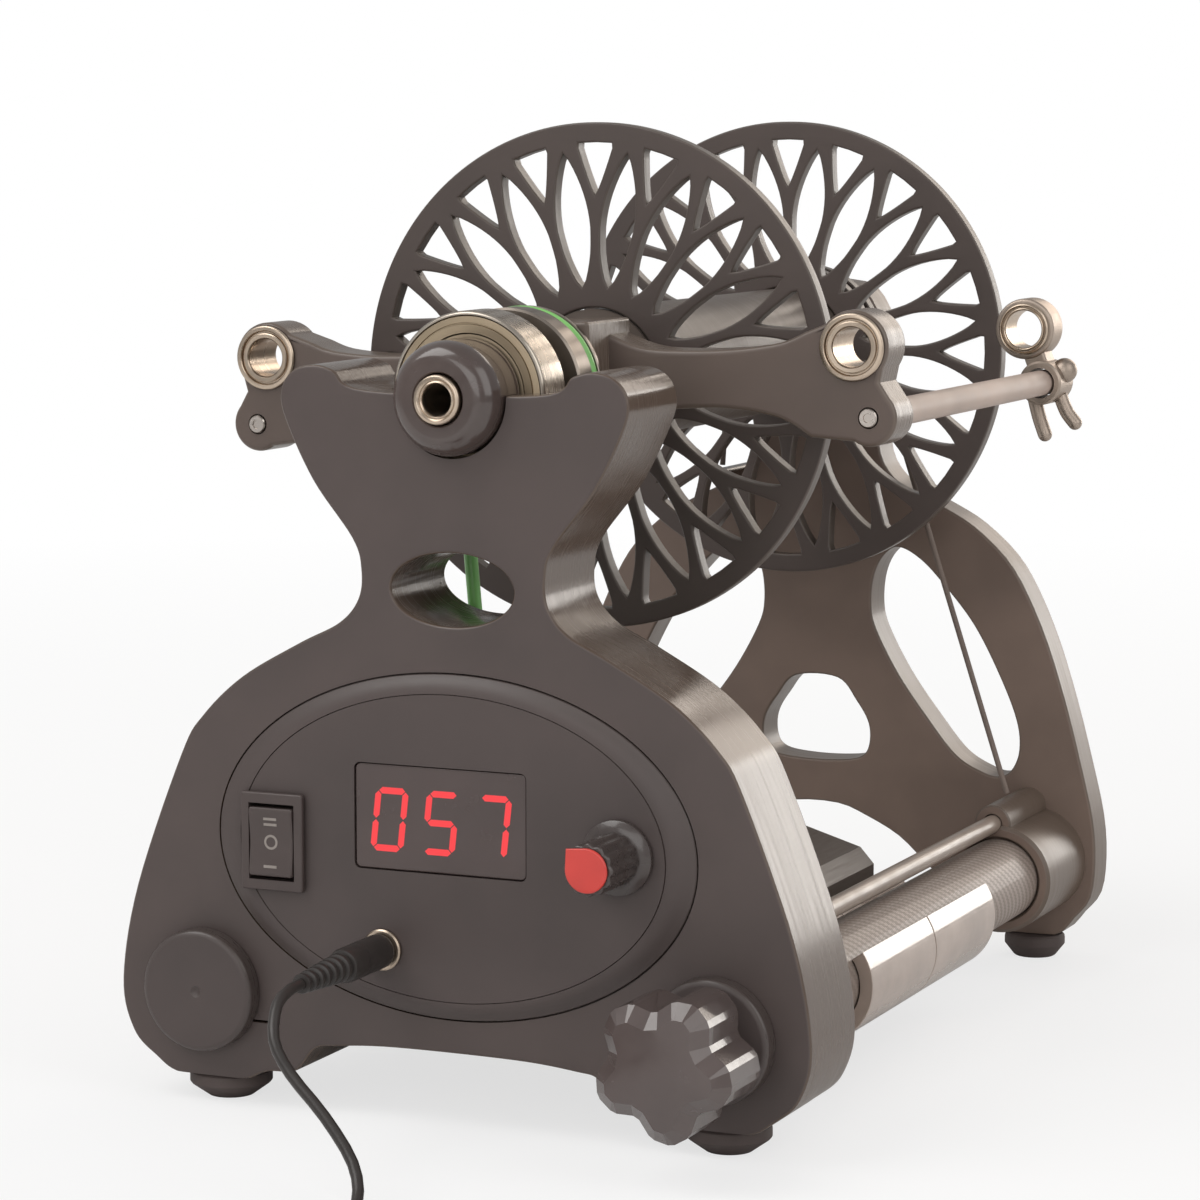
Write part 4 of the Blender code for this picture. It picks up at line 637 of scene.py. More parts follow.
tube_end = rear_face + rear_depth / 2 - gap
for side, word in sides:
    here = at(side * tube_x, 0, tube_z)
    lathe(f"carbon_tube_{word}", f"tube_{word}", m_carbon, [(0.01, tube_end), (0.01, 0.0002), (0.0098, 0),
        (0.0085, 0), (0.0085, tube_end)], here, 80)
cap_front = -gap - 0.0042
cap_side = [(0.008, 0.0042), (0.0082, 0.0038), (0.0082, -gap), (0.0131, -gap), (0.0132, -0.0004),
    *raised(cap_front, (0.0132, 0.0012), (0.01308, 0.0007), (0.0127, gap), (0.0122, 0.0001), (0.0118, 0))]
lathe("left_tube_cap", "tube_cap_left", m_panel, [(0, 0.0042), *cap_side,
    *raised(cap_front, (0.0013, 0), (0.001, 0.0002), (0.0004, 0.0005), (0, 0.0006))], at(-tube_x, 0, tube_z))
lathe("right_tube_cap", "tube_cap_right", m_panel, [*cap_side, (0.0036, cap_front), (0.0033, cap_front + gap),
    (0.0033, 0.0042)], at(tube_x, 0, tube_z))
piece("tie_rod_steel", drum(0.0022, socket_y + 0.0067, 0.0203, at(rod_x, 0, rod_z), 32), m_tie, "tie_rod")
sleeve_in, sleeve_out, sleeve_long = 0.0103, 0.0133, 0.042
slit_end, slit_start = 145, 395
section = [*arc((0, 0), sleeve_out, slit_end, slit_start, 72),
    *reversed(arc((0, 0), sleeve_in, slit_end, slit_start, 72))]
for index, word in enumerate(("front", "rear")):
    y = 0.057 + index * (sleeve_long + gap)
    piece(f"sleeve_{word}_steel", plate([section], y, y + sleeve_long, at(tube_x, 0, tube_z), gap, 1),
        m_sleeve, f"sleeve_{word}", sharp=30)
for y, foot_r, end in ((0.0095, 0.009, "front"), (rear_back - 0.0076, 0.0076, "rear")):
    foot_side = [(0, 0.0057), (foot_r - 0.0006, 0.0057), (foot_r - 0.0001, 0.0052), (foot_r, 0.0046),
        (foot_r, 0.0031), (foot_r - 0.0004, 0.0026), (0.0054, gap), (0.005, 0.0), (0, 0)]
    for side, word in sides:
        lathe(f"rubber_foot_{end}_{word}", f"foot_{end}_{word}", m_rubber, foot_side, at(side * 0.0585, y, 0)
            @ Matrix.Rotation(radians(90), 4, "X"), 40)

# ---- panel and what sits in it ----

on_panel = at(0, 0, panel_z)
rise, inset = 0.002, 0.0012
rim_steps = [(0, inset), (panel_w - 0.0002, inset), (panel_w, inset - 0.0002), (panel_w, 0.0001),
    (panel_w - 0.0002, -0.0002)]
face_radius = panel_w * 0.895
for share in (index / 8 for index in range(1, 9)):
    rim_steps.append((panel_w - 0.0002 - (panel_w - 0.0002 - face_radius) * share,
        -0.0002 - (rise - 0.0002) * sin(pi / 2 * share) ** 1.15))
rim_steps += [(face_radius - 0.0002, -rise), (face_radius - 0.00035, gap - rise),
    (face_radius - 0.0005, -rise), (0, -rise)]
panel = turned(rim_steps, on_panel, 160, squeeze=panel_h / panel_w)
display_x, display_z = -0.002, 0.066
switch_x, switch_z = -0.0408, 0.059
knob_x, knob_z = 0.0386, 0.0616
on_knob, on_jack = at(knob_x, 0, knob_z), at(jack_x, 0, jack_z)

panel = cut(panel, [plate([round_box(0.0398, 0.0226, 0.0014, display_x, display_z)], -0.003, 0.003),
    box((0.0134, 0.006, 0.0196), (switch_x, 0, switch_z)), drum(0.0049, 0.004, -0.004, on_knob, 40),
    drum(0.0041, 0.004, -0.004, on_jack, 40)])
piece("panel_shape", panel, m_panel, "control_panel", sharp=24)

lens_front = -0.0017
piece("display_lens", plate([round_box(0.0394, 0.0222, 0.0012, display_x, display_z)], lens_front,
    lens_front + 0.01, to_world, gap, 2), m_lens, "display_module")


def segment(spot, size):
    """One lit bar of a digit: a thin lozenge on the lens."""
    (x, z), w, h = spot, size[0] / 2, size[1] / 2
    if w > h:
        loop = [(-w, 0), (-w + h, h), (w - h, h), (w, 0), (w - h, -h), (-w + h, -h)]
    else:
        loop = [(0, -h), (-w, -h + w), (-w, h - w), (0, h), (w, h - w), (w, -h + w)]
    loop = [(x + a + digit_slant * (z + b - display_z), z + b) for a, b in loop]
    return plate([loop], lens_front - 0.00004, lens_front + 0.0001)


digit_high, digit_wide, bar, digit_slant = 0.0136, 0.0077, 0.00138, 0.11
bars = {"a": (0, 0.5), "b": (0.5, 0.25), "c": (0.5, -0.25), "d": (0, -0.5), "e": (-0.5, -0.25),
    "f": (-0.5, 0.25), "g": (0, 0)}
for digit, offset, lit in (("0", -0.0117, "abcdef"), ("5", 0.0002, "afgcd"), ("7", 0.0121, "abc")):
    meshes = []
    for letter in lit:
        share_x, share_z = bars[letter]
        spot = (display_x + offset + share_x * (digit_wide - bar),
            display_z - 0.0005 + share_z * (digit_high - bar))
        size = (digit_wide - bar - gap, bar) if letter in "adg" else (bar, (digit_high - bar) / 2 - gap)
        meshes.append(segment(spot, size))
    piece(f"digit_{digit}_lit", joined(meshes), m_digit, "display_module")

rim_back = -rise - gap
rim_front = rim_back - 0.0015
bezel = box((0.0147, 0.0015, 0.021), (switch_x, (rim_front + rim_back) / 2, switch_z), to_world, 0.0005, 3)
bezel = union(bezel, box((0.0128, 0.014, 0.019), (switch_x, rim_back - 0.00075 + 0.007, switch_z)))
rocker_front = rim_front - 0.0007
rocker_thick, rocker_half, pivot_deep = 0.0046, 0.0073, 0.0032
pocket_end = rocker_front + rocker_thick + 0.0013
bezel = cut(bezel, [box((0.0108, pocket_end - rim_front + 0.001, 0.0164),
    (switch_x, (pocket_end + rim_front - 0.001) / 2, switch_z))])
piece("switch_bezel", bezel, m_switch, "switch_body", sharp=30)


def dish(level):
    """Depth of the rocker's hollow face as a share of its thickness."""
    return 0.14 - 0.137 * abs(level / 0.88) ** 1.6


edge = [(1.0, 0.08), (0.975, 0.03), (0.93, 0.004), (0.88, 0.003)]
levels = [-0.88 + 1.76 * index / 10 for index in range(1, 10)]
side_line = [(-z, y) for z, y in edge] + [(level, dish(level)) for level in levels] + edge[::-1]
side_line += [(1.0, 0.8), (0.8, 1.0), (-0.8, 1.0), (-1.0, 0.8)]
pivot_y = rocker_front + pivot_deep
shape = bmesh.new()
rounds = []
for edge_x, shrink in ((-0.0051, 0.93), (-0.0048, 1.0), (0.0048, 1.0), (0.0051, 0.93)):
    rounds.append([shape.verts.new((edge_x, (share_y * rocker_thick - pivot_deep) * shrink,
        share_z * rocker_half * (1 - (1 - shrink) * 0.4))) for share_z, share_y in side_line])
for low, high in zip(rounds, rounds[1:]):
    for index in range(len(side_line)):
        after = (index + 1) % len(side_line)
        shape.faces.new((low[index], low[after], high[after], high[index]))
shape.faces.new(rounds[0])
shape.faces.new(list(reversed(rounds[-1])))
bmesh.ops.recalc_face_normals(shape, faces=shape.faces)
piece("rocker_shape", to_mesh(shape, at(switch_x, pivot_y, switch_z)), m_switch, "switch_rocker", sharp=30)


def rocker_y(z):
    """The rocker's face at a height above its middle."""
    return rocker_front + rocker_thick * dish(max(min(z / rocker_half, 0.88), -0.88))


bars = ((0.005, 0.00055), (0.0038, 0.00055), (-0.0052, 0.0006))
marks = [box((0.0031, 0.00012, tall), (switch_x, rocker_y(z) - 0.00003, switch_z + z)) for z, tall in bars]
ring_face = rocker_y(0.0) - 0.00008
marks.append(turned(raised(ring_face, (0.0016, 0.0004), (0.0016, 0), (0.0011, 0), (0.0011, 0.0004)),
    at(switch_x, 0, switch_z), 32))
piece("rocker_marks", joined(marks), m_mark, "switch_rocker")

pot_front = inset + gap
lathe("speed_control_can", "speed_control", m_steel, [(0, pot_front + 0.009), (0.0077, pot_front + 0.009),
    (0.008, pot_front + 0.0087), (0.008, pot_front), (0.0046, pot_front), (0.0046, -rise), (0.0033, -rise),
    (0.0033, rim_back + 0.0063), (0, rim_back + 0.0063)], on_knob, 48)
jack_front = rim_back - 0.0009
lathe("power_socket_ring", "power_socket", m_brass, [(0, rim_back + 0.011), (0.0038, rim_back + 0.011),
    (0.0038, rim_back), (0.0044, rim_back), (0.0044, jack_front + gap), (0.0041, jack_front),
    (0.0033, jack_front), (0.0031, jack_front + 0.0002), (0.0031, rim_back + 0.01), (0, rim_back + 0.01)],
    on_jack, 48)

knob_back = -rise - 0.0006
knob_front = knob_back - 0.015
flutes = []
for index in range(240):
    angle = 2 * pi * index / 240
    radius = 0.005 + 0.0005 * (0.5 + 0.5 * cos(12 * angle)) ** 0.7
    flutes.append((radius * cos(angle), radius * sin(angle)))
knob = plate([flutes], knob_front, knob_back, on_knob, 0.0005, 3)
knob = union(knob, turned(raised(knob_back, (0, 0), (0.0078, 0), (0.0078, -0.0009), (0.0076, -0.0011),
    (0.0068, -0.0015), (0.006, -0.0019), (0, -0.0019)), on_knob))
knob = union(knob, drum(0.0029, rim_back + 0.0057, knob_back - 0.001, on_knob, 40))
knob = cut(knob, [drum(0.0044, knob_front + 0.0014, knob_front - 0.001, on_knob)])
piece("speed_knob_shape", knob, m_knob, "speed_knob", sharp=34)
cap_out = knob_front - 0.0011
drop_line = arc((0, 0), 0.0046, 175 - 360, 97, 56)
drop_line.append((0.0061 * cos(radians(136)), 0.0061 * sin(radians(136))))
cap = plate([drop_line], cap_out, knob_front - 0.0002, on_knob, 0.0004, 3)
cap = union(cap, drum(0.0041, knob_front + 0.0011, knob_front - 0.0006, on_knob))
piece("knob_cap_red", cap, m_red, "knob_cap")

piece("board_edge", box((0.06, 0.0016, 0.034), (0, 0.0215 - gap - 0.0008, panel_z), to_world, 0.0002, 1),
    m_board, "control_board")

# ---- motor housing, belt and bearings ----

roof_shares = ((1.0, 0.64), (0.925, 0.76), (0.604, 0.897), (0.3, 0.97), (0.0, 1.0))
bottom, top, half_wide, belt_y = 0.017, 0.0485, 0.0454, 0.0355
outside = [(half_wide, bottom)] + [(x * half_wide, bottom + z * (top - bottom)) for x, z in roof_shares]
outside += [(-x, z) for x, z in reversed(outside[:-1])]
inside = [(x * 0.94, bottom + 0.0022 + (z - bottom) * 0.86) for x, z in outside]
housing = plate([outside], depth + gap, 0.133, to_world, 0.0009, 3)
housing = cut(housing, [plate([inside], depth - 0.002, 0.1308), box((0.021, 0.01, 0.0165), (0, belt_y, top))])
piece("motor_housing_shell", housing, m_housing, "motor_housing", sharp=24)

flyer_belt, motor_belt = 0.0141 + 0.0018, 0.0031 + 0.0018
motor_z = 0.0318
drop = axis_z - motor_z
lean = asin((flyer_belt - motor_belt) / drop)
belt = swept(flyer_belt, axis_z, -lean, pi + 2 * lean, 64)
belt += swept(motor_belt, motor_z, pi + lean, pi - 2 * lean, 32)
piece("drive_belt_round", wire([(x, belt_y, z) for x, z in belt], 0.0015, to_world, closed=True,
    resolution=6), m_belt, "drive_belt")

outer, split = 0.0175, 0.0128 + gap / 2
lathe("bearing_outer_race", "front_bearing_outer", m_race, [(outer, 0.0186), (outer, 0.0088),
    (outer - 0.0002, 0.0084), (outer - 0.0005, 0.0082), (0.0167, 0.0082), (0.0165, 0.0085), (0.0165, 0.0189),
    (0.0167, 0.0192), (outer - 0.0005, 0.0192), (outer - 0.0002, 0.019)], on_axis, 120)
lathe("bearing_outer_shield", "front_bearing_outer", m_shield, [(0.0164, 0.019), (0.0164, 0.0084),
    (0.0151, 0.0083), (0.015, 0.0086), (0.0148, 0.0086), (0.0147, 0.0083), (split, 0.0084), (split, 0.019)],
    on_axis, 120)
inner_out = 0.0128 - gap / 2
lathe("bearing_shield", "front_bearing_inner", m_shield, [(inner_out, 0.0188), (inner_out, 0.0086),
    (0.0105, 0.0086), (0.0103, 0.0089), (0.01, 0.0089), (0.01, 0.0188)], on_flyer, 120)
lathe("bearing_inner_race", "front_bearing_inner", m_race, [(0.01, 0.0192), (0.01, 0.0083), (0.0098, 0.0082),
    (0.0083, 0.0082), (0.0083, 0.0192)], on_flyer, 96)
for name, node, wide, narrow, body_place in (("rear_outer_race", "rear_bearing_outer", 0.011,
        0.0072 + gap / 2, on_axis), ("rear_inner_race", "rear_bearing_inner", 0.0072 - gap / 2, 0.0043,
        on_flyer)):
    lathe(name, node, m_race, raised(rear_face + gap, (wide, 0.0068), (wide, 0.0002), (wide - 0.0002, 0),
        (narrow, 0), (narrow, 0.007), (wide - 0.0002, 0.007)), body_place)

# ---- orifice, hub, shaft and flyer ----

lathe("orifice_ring_lip", "orifice_ring", m_brass, [(0.0052, 0.006), (0.0052, -0.0063), (0.00505, -0.0068),
    (0.0048, -0.007), (0.0044, -0.007), (0.0042, -0.00675), (0.004, -0.00665), (0.0038, -0.0068),
    (0.0036, -0.0069), (0.0033, -0.0066), (0.0031, -0.0058), (0.0031, 0.006)], on_flyer, 96, sharp=50)
hub_side = [(0.012, 0.0079), (0.012, -0.0008)]
for angle in (pi / 2 * index / 14 for index in range(1, 15)):
    hub_side.append((0.012 - 0.0042 * (1 - cos(angle)), -0.0008 - 0.0052 * sin(angle)))
lathe("orifice_hub_round", "orifice_hub", m_gloss, [*hub_side, (0.0058, -0.006), (0.0055, -0.0057),
    (0.0055, 0.0079)], on_flyer, 120, sharp=40)

tube_front, tube_back = 0.0082, 0.0615
shaft = turned([(0, 0.2205), (0.0037, 0.2205), (0.004, 0.2202), (0.004, tube_back + gap), (0.0041, tube_back),
    (0.0078, tube_back), (0.008, tube_back - 0.0002), (0.008, tube_front), (0.0031, tube_front),
    (0.0031, 0.057), (0, 0.057)], on_flyer, 72)
exit_place = at(0, 0.052, 0, on_flyer) @ Matrix.Rotation(radians(-90), 4, "X")
shaft = cut(shaft, [drum(0.0034, 0.01, 0, exit_place, 40)])
piece("flyer_shaft_steel", shaft, m_steel, "flyer_shaft", sharp=30)

pulley_front, pulley_rear = 0.027, 0.0386
groove = raised(belt_y, (0.0173, 0.002), (0.0171, 0.0018), (0.0141, 0.0018), (0.0141, -0.0018),
    (0.0171, -0.0018), (0.0173, -0.002))
lathe("flyer_pulley_round", "flyer_pulley", m_pulley, [(0.017, pulley_rear), (0.0173, pulley_rear - gap),
    *groove, (0.0173, pulley_front + 0.0005), (0.0168, pulley_front), (0.0086, pulley_front),
    (0.0083, pulley_front + gap), (0.0083, pulley_rear)], on_flyer, 120, sharp=30)
collar_y = rear_face - gap - 0.005
collar = turned(raised(collar_y, (0.0079, 0.005), (0.0082, 0.0047), (0.0082, gap), (0.0079, 0), (0.0043, 0),
    (0.0043, 0.005)), on_flyer, 72)
collar = cut(collar, [drum(0.0013, 0.01, 0.005, at(0, collar_y + 0.0025, 0, on_flyer)
    @ Matrix.Rotation(radians(-90), 4, "X"), 6)])
piece("shaft_collar_steel", collar, m_steel, "shaft_collar", sharp=30)

arm_front, arm_deep = 0.0495, 0.012
arm_back = arm_front + arm_deep
reach, drop_z, lug_r = 0.0728, 0.0083, 0.0061
eye_x, eye_z, eye_r = 0.0697, 0.0066, 0.0078
root_up, root_down = 0.0066, 0.006
hub_half, hub_tall = 0.014, 0.0135


def arm_line():
    """Outline of the flyer's arm, with an eye and a lug on each side."""
    top = [(hub_half * 0.9, root_up * 1.65), (hub_half * 1.5, root_up * 1.14), (reach * 0.4, root_up),
        (reach * 0.58, root_up), (reach * 0.73, root_up * 1.18), (reach * 0.81, root_up * 1.5)]
    over_eye = arc((eye_x, eye_z), eye_r, 140, -35, 36)
    waist = [(eye_x + eye_r * 0.72, (eye_z - drop_z) * 0.55)]
    round_lug = arc((reach, -drop_z), lug_r, 42, -125, 36)
    low = [(reach * 0.82, -root_down * 2.05), (reach * 0.72, -root_down * 1.35), (reach * 0.56, -root_down),
        (reach * 0.4, -root_down), (hub_half * 1.5, -root_down * 1.1), (hub_half * 0.9, -root_down * 1.6)]
    right = smooth(top, 5, closed=False)
    right += over_eye + waist + round_lug + smooth(low, 5, closed=False)
    return right + [(-x, z) for x, z in reversed(right)]


eyes = [circle(0.0062, 64, (side * eye_x, eye_z)) for side in (1, -1)]
arm = plate([thinned(arm_line()), *eyes], arm_front, arm_back, on_flyer, 0.0011, 3)
hub_from, hub_to = pulley_rear + gap, arm_back + 0.0005
arm_hub = box((2 * hub_half, hub_to - hub_from, 2 * hub_tall), (0, (hub_from + hub_to) / 2, 0), on_flyer,
    0.0009, 3)
ways = [drum(0.0083, arm_back + 0.002, pulley_rear - 0.001, on_flyer, 72),
    drum(0.004, 0.018, 0, exit_place, 40)]
for side in (1, -1):
    lug_place = at(side * reach, 0, -drop_z, on_flyer)
    ways.append(drum(0.0033, arm_back + 0.001, arm_back - 0.0095, lug_place, 40))
    ways.append(drum(0.0023, arm_back - 0.008, arm_front - 0.001, lug_place, 40))
arm = cut(union(arm, arm_hub), ways)
piece("flyer_arm_shape", arm, m_flyer, "flyer_arm", sharp=38)


def eyelet(name, node, hole, bore, lip, front, deep, place):
    """Rolled ring in a hole, its lip out in front."""
    outer = hole - gap
    back = front - gap
    face = back - 0.0006
    end = front + deep
    middle = bore + (lip - bore) * 0.52
    lathe(name, node, m_brass, [(outer, end), (outer, back), (lip - 0.0001, back), (lip, back - 0.0001),
        (lip - 0.0001, face + 0.0002), (lip - 0.0004, face), (middle + 0.0004, face),
        (middle + 0.0002, face + 0.0002), (middle + 0.0001, face + 0.0008), (middle - 0.0002, face + 0.0008),
        (middle - gap, face + 0.0002), (middle - 0.0005, face + 0.00005), (bore + gap, face + 0.0001),
        (bore + 0.0001, face + gap), (bore, face + 0.0007), (bore, end)], place, 72, sharp=40)


for side, word in sides:
    lug_place = at(side * reach, 0, -drop_z, on_flyer)
    eyelet(f"arm_eyelet_metal_{word}", f"arm_eyelet_{word}", 0.0062, 0.0042, 0.0072, arm_front, arm_deep,
        at(side * eye_x, 0, eye_z, on_flyer))
    screw_front = arm_front - 0.0005
    lathe(f"rod_screw_head_{word}", f"rod_screw_{word}", m_rod, [(0, arm_back - 0.0098),
        (0.002, arm_back - 0.0098), (0.002, screw_front + gap), (0.0018, screw_front), (0.001, screw_front),
        (0.0009, screw_front + gap), (0, screw_front + gap)], lug_place, 40)
    rod_start = arm_back - 0.0092
    lathe(f"carbon_rod_{word}", f"flyer_rod_{word}", m_rod_carbon, [(0, 0.18), (0.0026, 0.18),
        (0.003, 0.1796), (0.003, rod_start), (0, rod_start)], lug_place, 48)

guide_y, guide_wide, grip_r = 0.174, 0.008, 0.0052
prongs = (((-0.62, -0.72), (-0.42, -1.6), (-0.16, -2.42)), ((0.62, -0.66), (0.9, -1.38), (1.28, -1.9)))
for side, word in sides:
    here = at(side * reach, guide_y, -drop_z, on_flyer)
    ring_x, ring_z = side * (0.0687 - reach), 0.0045 + drop_z
    ring_mesh = plate([circle(0.0072, 72, (ring_x, ring_z))], -guide_wide / 2, guide_wide / 2, here, 0.0007,
        3)
    grip_start, grip_end = -guide_wide / 2 - 0.002, guide_wide / 2 + 0.0005
    grip = turned([(0, grip_end), (0.0047, grip_end), (grip_r, grip_end - 0.0005),
        (grip_r, grip_start + 0.0005), (0.0047, grip_start), (0, grip_start)], here, 56)
    lean = atan2(ring_x, ring_z)
    neck = box((grip_r, guide_wide - 0.0012, ring_z), (0, 0, 0), at(ring_x / 2, 0, ring_z / 2, here)
        @ Matrix.Rotation(lean, 4, "Y"), 0.0006, 2)
    parts = [grip, neck]
    for bends in prongs:
        points = [(side * a * grip_r, 0, b * grip_r) for a, b in bends]
        parts.append(wire(smooth(points, 5, closed=False), 0.0017, here, resolution=6))
        parts.append(ball(0.00169, points[-1], here))
    parts.append(ball(0.003, (side * grip_r * 0.85, 0, grip_r * 0.5), here))
    guide = cut(ring_mesh, parts, "UNION")
    on_ring = at(ring_x, 0, ring_z, here)
    guide = cut(guide, [drum(0.0036, 0.008, -0.008, here, 48), drum(0.0055, 0.008, -0.008, on_ring, 56)])
    piece(f"guide_shape_{word}", guide, m_guide, f"guide_{word}", sharp=42)
    eyelet(f"guide_eyelet_metal_{word}", f"guide_eyelet_{word}", 0.0055, 0.0044, 0.0061, -guide_wide / 2,
        guide_wide, on_ring)

# ---- bobbin ----

flange_r, rim, rib, hub_ring, petals = 0.0561, 0.0044, 0.0023, 0.0196, 20
front_flange = 0.0729
core_r, core_wall = 0.015, 0.003


def petal_windows():
    """Leaf windows, and the small windows between their tips, inside the flange's rim."""
    inner, outer_r = hub_ring, flange_r - rim
    long = outer_r - inner
    leaf_long = 0.94 * long
    pitch = 2 * pi / petals

    def half_width(share):
        radius = inner + share * leaf_long
        return min(0.004 * sin(pi * share) ** 0.8, radius * sin(pitch / 2) - rib / 2)

    def axes(angle):
        ahead = Vector((cos(angle), sin(angle)))
        return ahead, Vector((-ahead.y, ahead.x))

    loops = []
    shares = [i / 16 for i in range(1, 16)]
    for index in range(petals):
        along, across = axes(pitch * (index + 0.5))
        right = [along * (inner + s * leaf_long) + across * half_width(s) for s in shares]
        left = [along * (inner + s * leaf_long) - across * half_width(s) for s in reversed(shares)]
        loops.append([tuple(p) for p in (along * (inner + 0.0004), *right, along * (inner + leaf_long),
            *left)])
        middle, aside = axes(pitch * index)
        flank = []
        for step in range(1, 10):
            share = step / 9
            room = 0.0045 * share ** 0.85 - (0.0005 if step == 9 else 0)
            flank.append((inner + (0.64 + 0.36 * min(share, 0.985)) * long, room))
        tip = middle * (inner + 0.64 * long)
        up = [middle * radius + aside * room for radius, room in flank]
        down = [middle * radius - aside * room for radius, room in reversed(flank)]
        loops.append([tuple(p) for p in (tip, *up, middle * outer_r, *down)])
    return loops


for word, y in (("front", front_flange), ("rear", rear_flange)):
    piece(f"flange_{word}_lattice", plate([circle(flange_r, 200), circle(core_r + gap, 96), *petal_windows()],
        y, y + flange_deep, on_axis, 0.0005, 2), m_bobbin, f"bobbin_flange_{word}", sharp=34)
rear_end = rear_flange + flange_deep + gap + 0.01
lathe("bobbin_core_tube", "bobbin_core", m_bobbin, [(core_r, rear_end), (core_r, front_flange),
    (core_r - core_wall, front_flange), (core_r - core_wall, rear_end)], on_axis, 96)
inside_r = core_r - core_wall - gap
seat = front_flange - gap
lathe("bobbin_nose", "bobbin_bush_front", m_bobbin, [(inside_r, seat + 0.012), (inside_r, seat),
    (core_r, seat), (core_r, seat - 0.0004), (0.0128, 0.0629), (0.0124, 0.0625), (0.0046, 0.0625),
    (0.0043, 0.0628), (0.0043, seat + 0.012)], on_axis, 96)
seat = rear_end + gap
cheek = seat + 0.002
lathe("bobbin_tail", "bobbin_bush_rear", m_bobbin, [(core_r - 0.0004, cheek), (core_r, cheek - 0.0004),
    (core_r, seat), (inside_r, seat), (inside_r, seat - 0.012), (0.0043, seat - 0.012), (0.0043, cheek)],
    on_axis, 96)
start_y, brake_r = rear_flange + flange_deep + gap, 0.0178
lathe("brake_pulley_round", "bobbin_brake_pulley", m_bobbin, [(0.0203, rear_end), (0.0206, rear_end - gap),
    *raised(groove_y, (0.0206, 0.0017), (0.0203, 0.0014), (0.0182, 0.0012), (brake_r, 0.0006),
    (brake_r, -0.0006), (0.0182, -0.0012), (0.0203, -0.0014), (0.0206, -0.0017)), (0.0206, start_y + gap),
    (0.0203, start_y), (core_r + gap, start_y), (core_r + gap, rear_end)], on_axis, 96)

# ---- brake cord and star knob ----

line_r = 0.0007
around = brake_r + gap + line_r
lug_side = asin((rod_x - cord_x) / rod_lug_r)
foot_spot = (cord_x, rod_z + rod_lug_r * cos(lug_side) + line_r)
post_top = post_z + post_r + line_r


def tangent(x, z):
    """Directions from the axis: to a point, and between it and where its line touches the groove."""
    dx, dz = x, z - axis_z
    return atan2(dz, dx), acos(around / hypot(dx, dz))


towards, half_turn = tangent(*foot_spot)
start = towards + half_turn
towards, half_turn = tangent(post_x, post_top)
end = towards - half_turn + 2 * pi
over = [(x, groove_y, z) for x, z in swept(around, axis_z, start, end - start, 48)]
piece("brake_line", wire([(foot_spot[0], groove_y, foot_spot[1]), *over, (post_x, groove_y, post_top)],
    line_r, to_world, resolution=4), m_line, "brake_cord")

on_star = at(tube_x, 0, tube_z)
star_front, star_deep = -0.031, 0.021
star_back = star_front + star_deep
star = []
for index in range(5):
    middle = 2 * pi * index / 5 + radians(-10)
    for offset, size in ((-0.3, 0.0154 * 0.93), (0.0, 0.0154), (0.3, 0.0154 * 0.93), (pi / 5, 0.0112)):
        star.append((size * cos(middle + offset), size * sin(middle + offset)))
corners = []
for before, here, after in zip(star[-1:] + star[:-1], star, star[1:] + star[:1]):
    for other in (before, after):
        corners.append(tuple(Vector(here) + (Vector(other) - Vector(here)).normalized() * 0.0008))
star_body = plate([corners], star_front, star_back, on_star, 0.003, 0)
star_body = union(star_body, turned([(0, 0.012), (0.003, 0.012), (0.003, -0.0048), (0.0056, -0.0048),
    (0.0058, -0.0051), (0.0087, star_back - 0.001), (0, star_back - 0.001)], on_star, 56))
piece("brake_star", star_body, m_star, "brake_knob", sharp=12)

# ---- materials of the solids that still show, light, floor ----

hidden = {"motor": m_steel, "motor_pulley": m_brass}
for name, thing in frame["nodes"].items():
    look = hidden.get(name, m_frame)
    if not thing.material_slots:
        thing.data.materials.append(look)
    for material_slot in thing.material_slots:
        material_slot.material = look

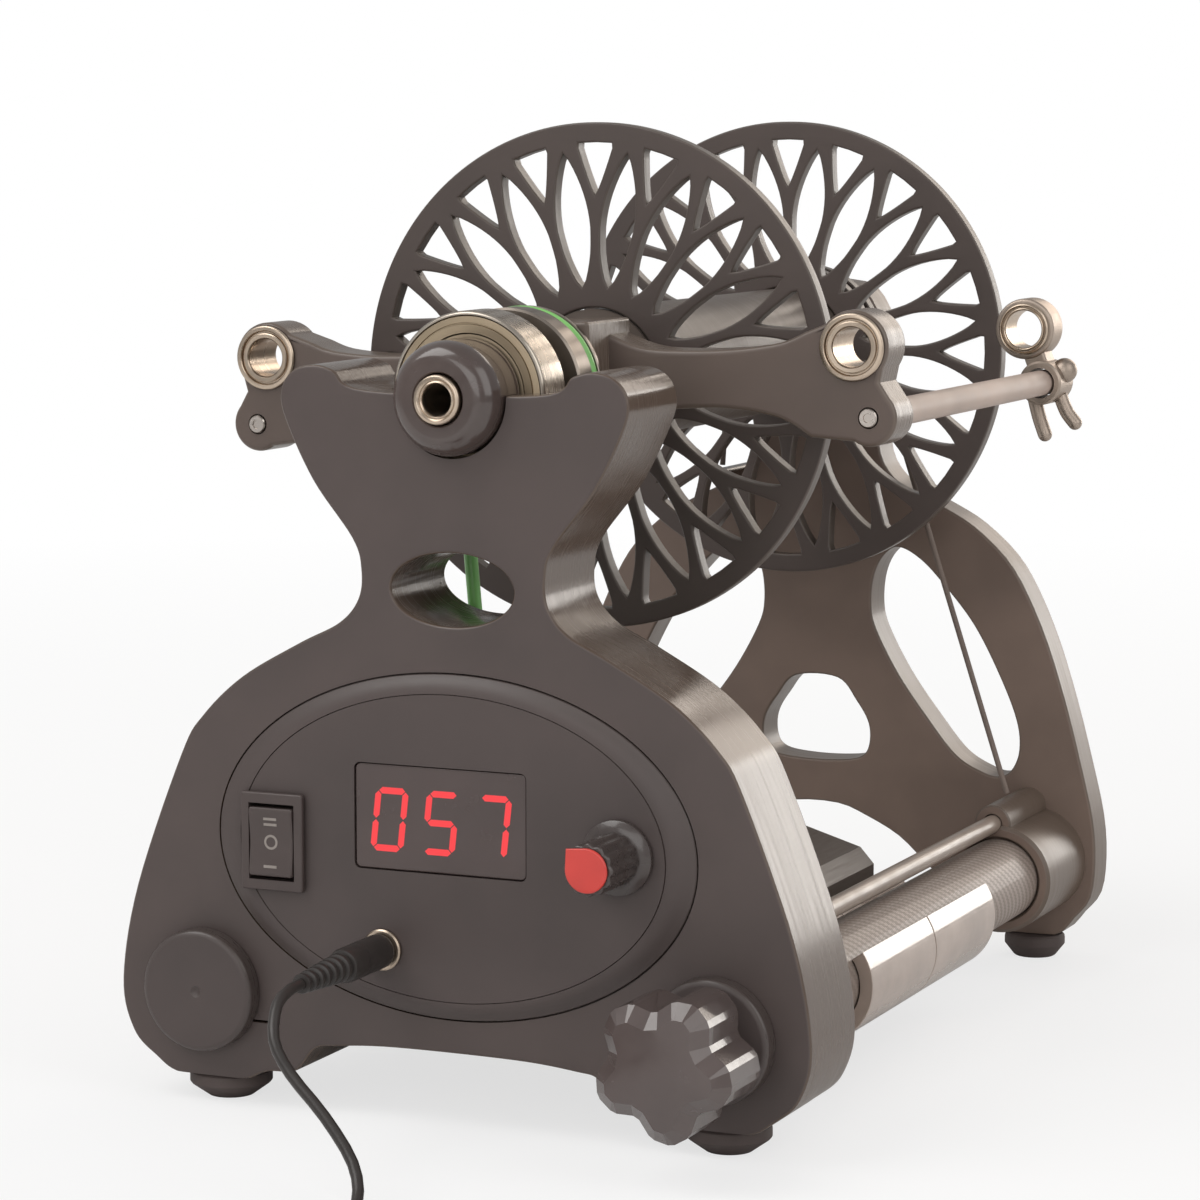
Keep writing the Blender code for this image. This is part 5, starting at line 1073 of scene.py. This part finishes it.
floor_mesh = bpy.data.meshes.new("floor")
floor_mesh.from_pydata([(-6, -6, 0), (6, -6, 0), (6, 6, 0), (-6, 6, 0)], [], [(0, 1, 2, 3)])
floor = placed("floor", floor_mesh)
n = Nodes("floor_white", (0.86, 0.86, 0.86), 0.9)
n.look(n.mix(n.noise(3.0, 2.0), (0.85, 0.85, 0.85), (0.87, 0.87, 0.87)), "Base Color")
away = n.add("VectorMath", {0: n.coords}, operation="LENGTH").outputs["Value"]
share = n.maths("MULTIPLY", n.ramp(away, 0.18, 1.1, 0.7, 1.0), n.add("LightPath").outputs["Is Camera Ray"])
blend = n.add("MixShader", {0: share, 1: n.shader.outputs[0], 2: n.add("Emission").outputs[0]})
n.tree.links.new(blend.outputs[0], n.tree.nodes["Material Output"].inputs["Surface"])
floor_mesh.materials.append(n.material)


def area(name, size, power, place, aim, colour=(1.0, 0.985, 0.965)):
    light = bpy.data.lights.new(name, "AREA")
    light.shape = "RECTANGLE"
    light.size, light.size_y = size
    light.energy = power
    light.color = colour
    lamp = placed(name, light)
    lamp.location = place
    lamp.rotation_euler = (Vector(aim) - Vector(place)).to_track_quat("-Z", "Y").to_euler()


area("key_right", (0.9, 1.1), 5, (1.15, -0.35, 0.75), (0, -0.02, 0.08))
area("window", (0.85, 1.1), 9, (0.35, 2.0, 1.05), (0, 0, 0.1), (1.0, 0.88, 0.76))
area("low_right", (0.66, 0.62), 6.4, (0.74, 1.84, 0.38), (0, 0, 0.08), (1.0, 0.95, 0.89))
area("top_left", (0.8, 0.8), 7, (-0.55, -0.55, 1.05), (0, 0, 0.08))
area("front_fill", (1.2, 0.8), 5.5, (0.15, -1.5, 0.55), (0, 0, 0.08))

world = bpy.context.scene.world or bpy.data.worlds.new("world")
bpy.context.scene.world = world
world.use_nodes = True
tree = world.node_tree
tree.nodes.clear()
greys = ((0.8, 0.55), (1, 1.0))
lit, seen = (new_node(tree, "Background", {0: (g, g, g, 1), 1: power}).outputs[0] for g, power in greys)
camera_ray = new_node(tree, "LightPath", {}).outputs["Is Camera Ray"]
choice = new_node(tree, "MixShader", {0: camera_ray, 1: lit, 2: seen})
new_node(tree, "OutputWorld", {0: choice.outputs[0]})
bpy.context.scene.view_settings.view_transform = "Standard"
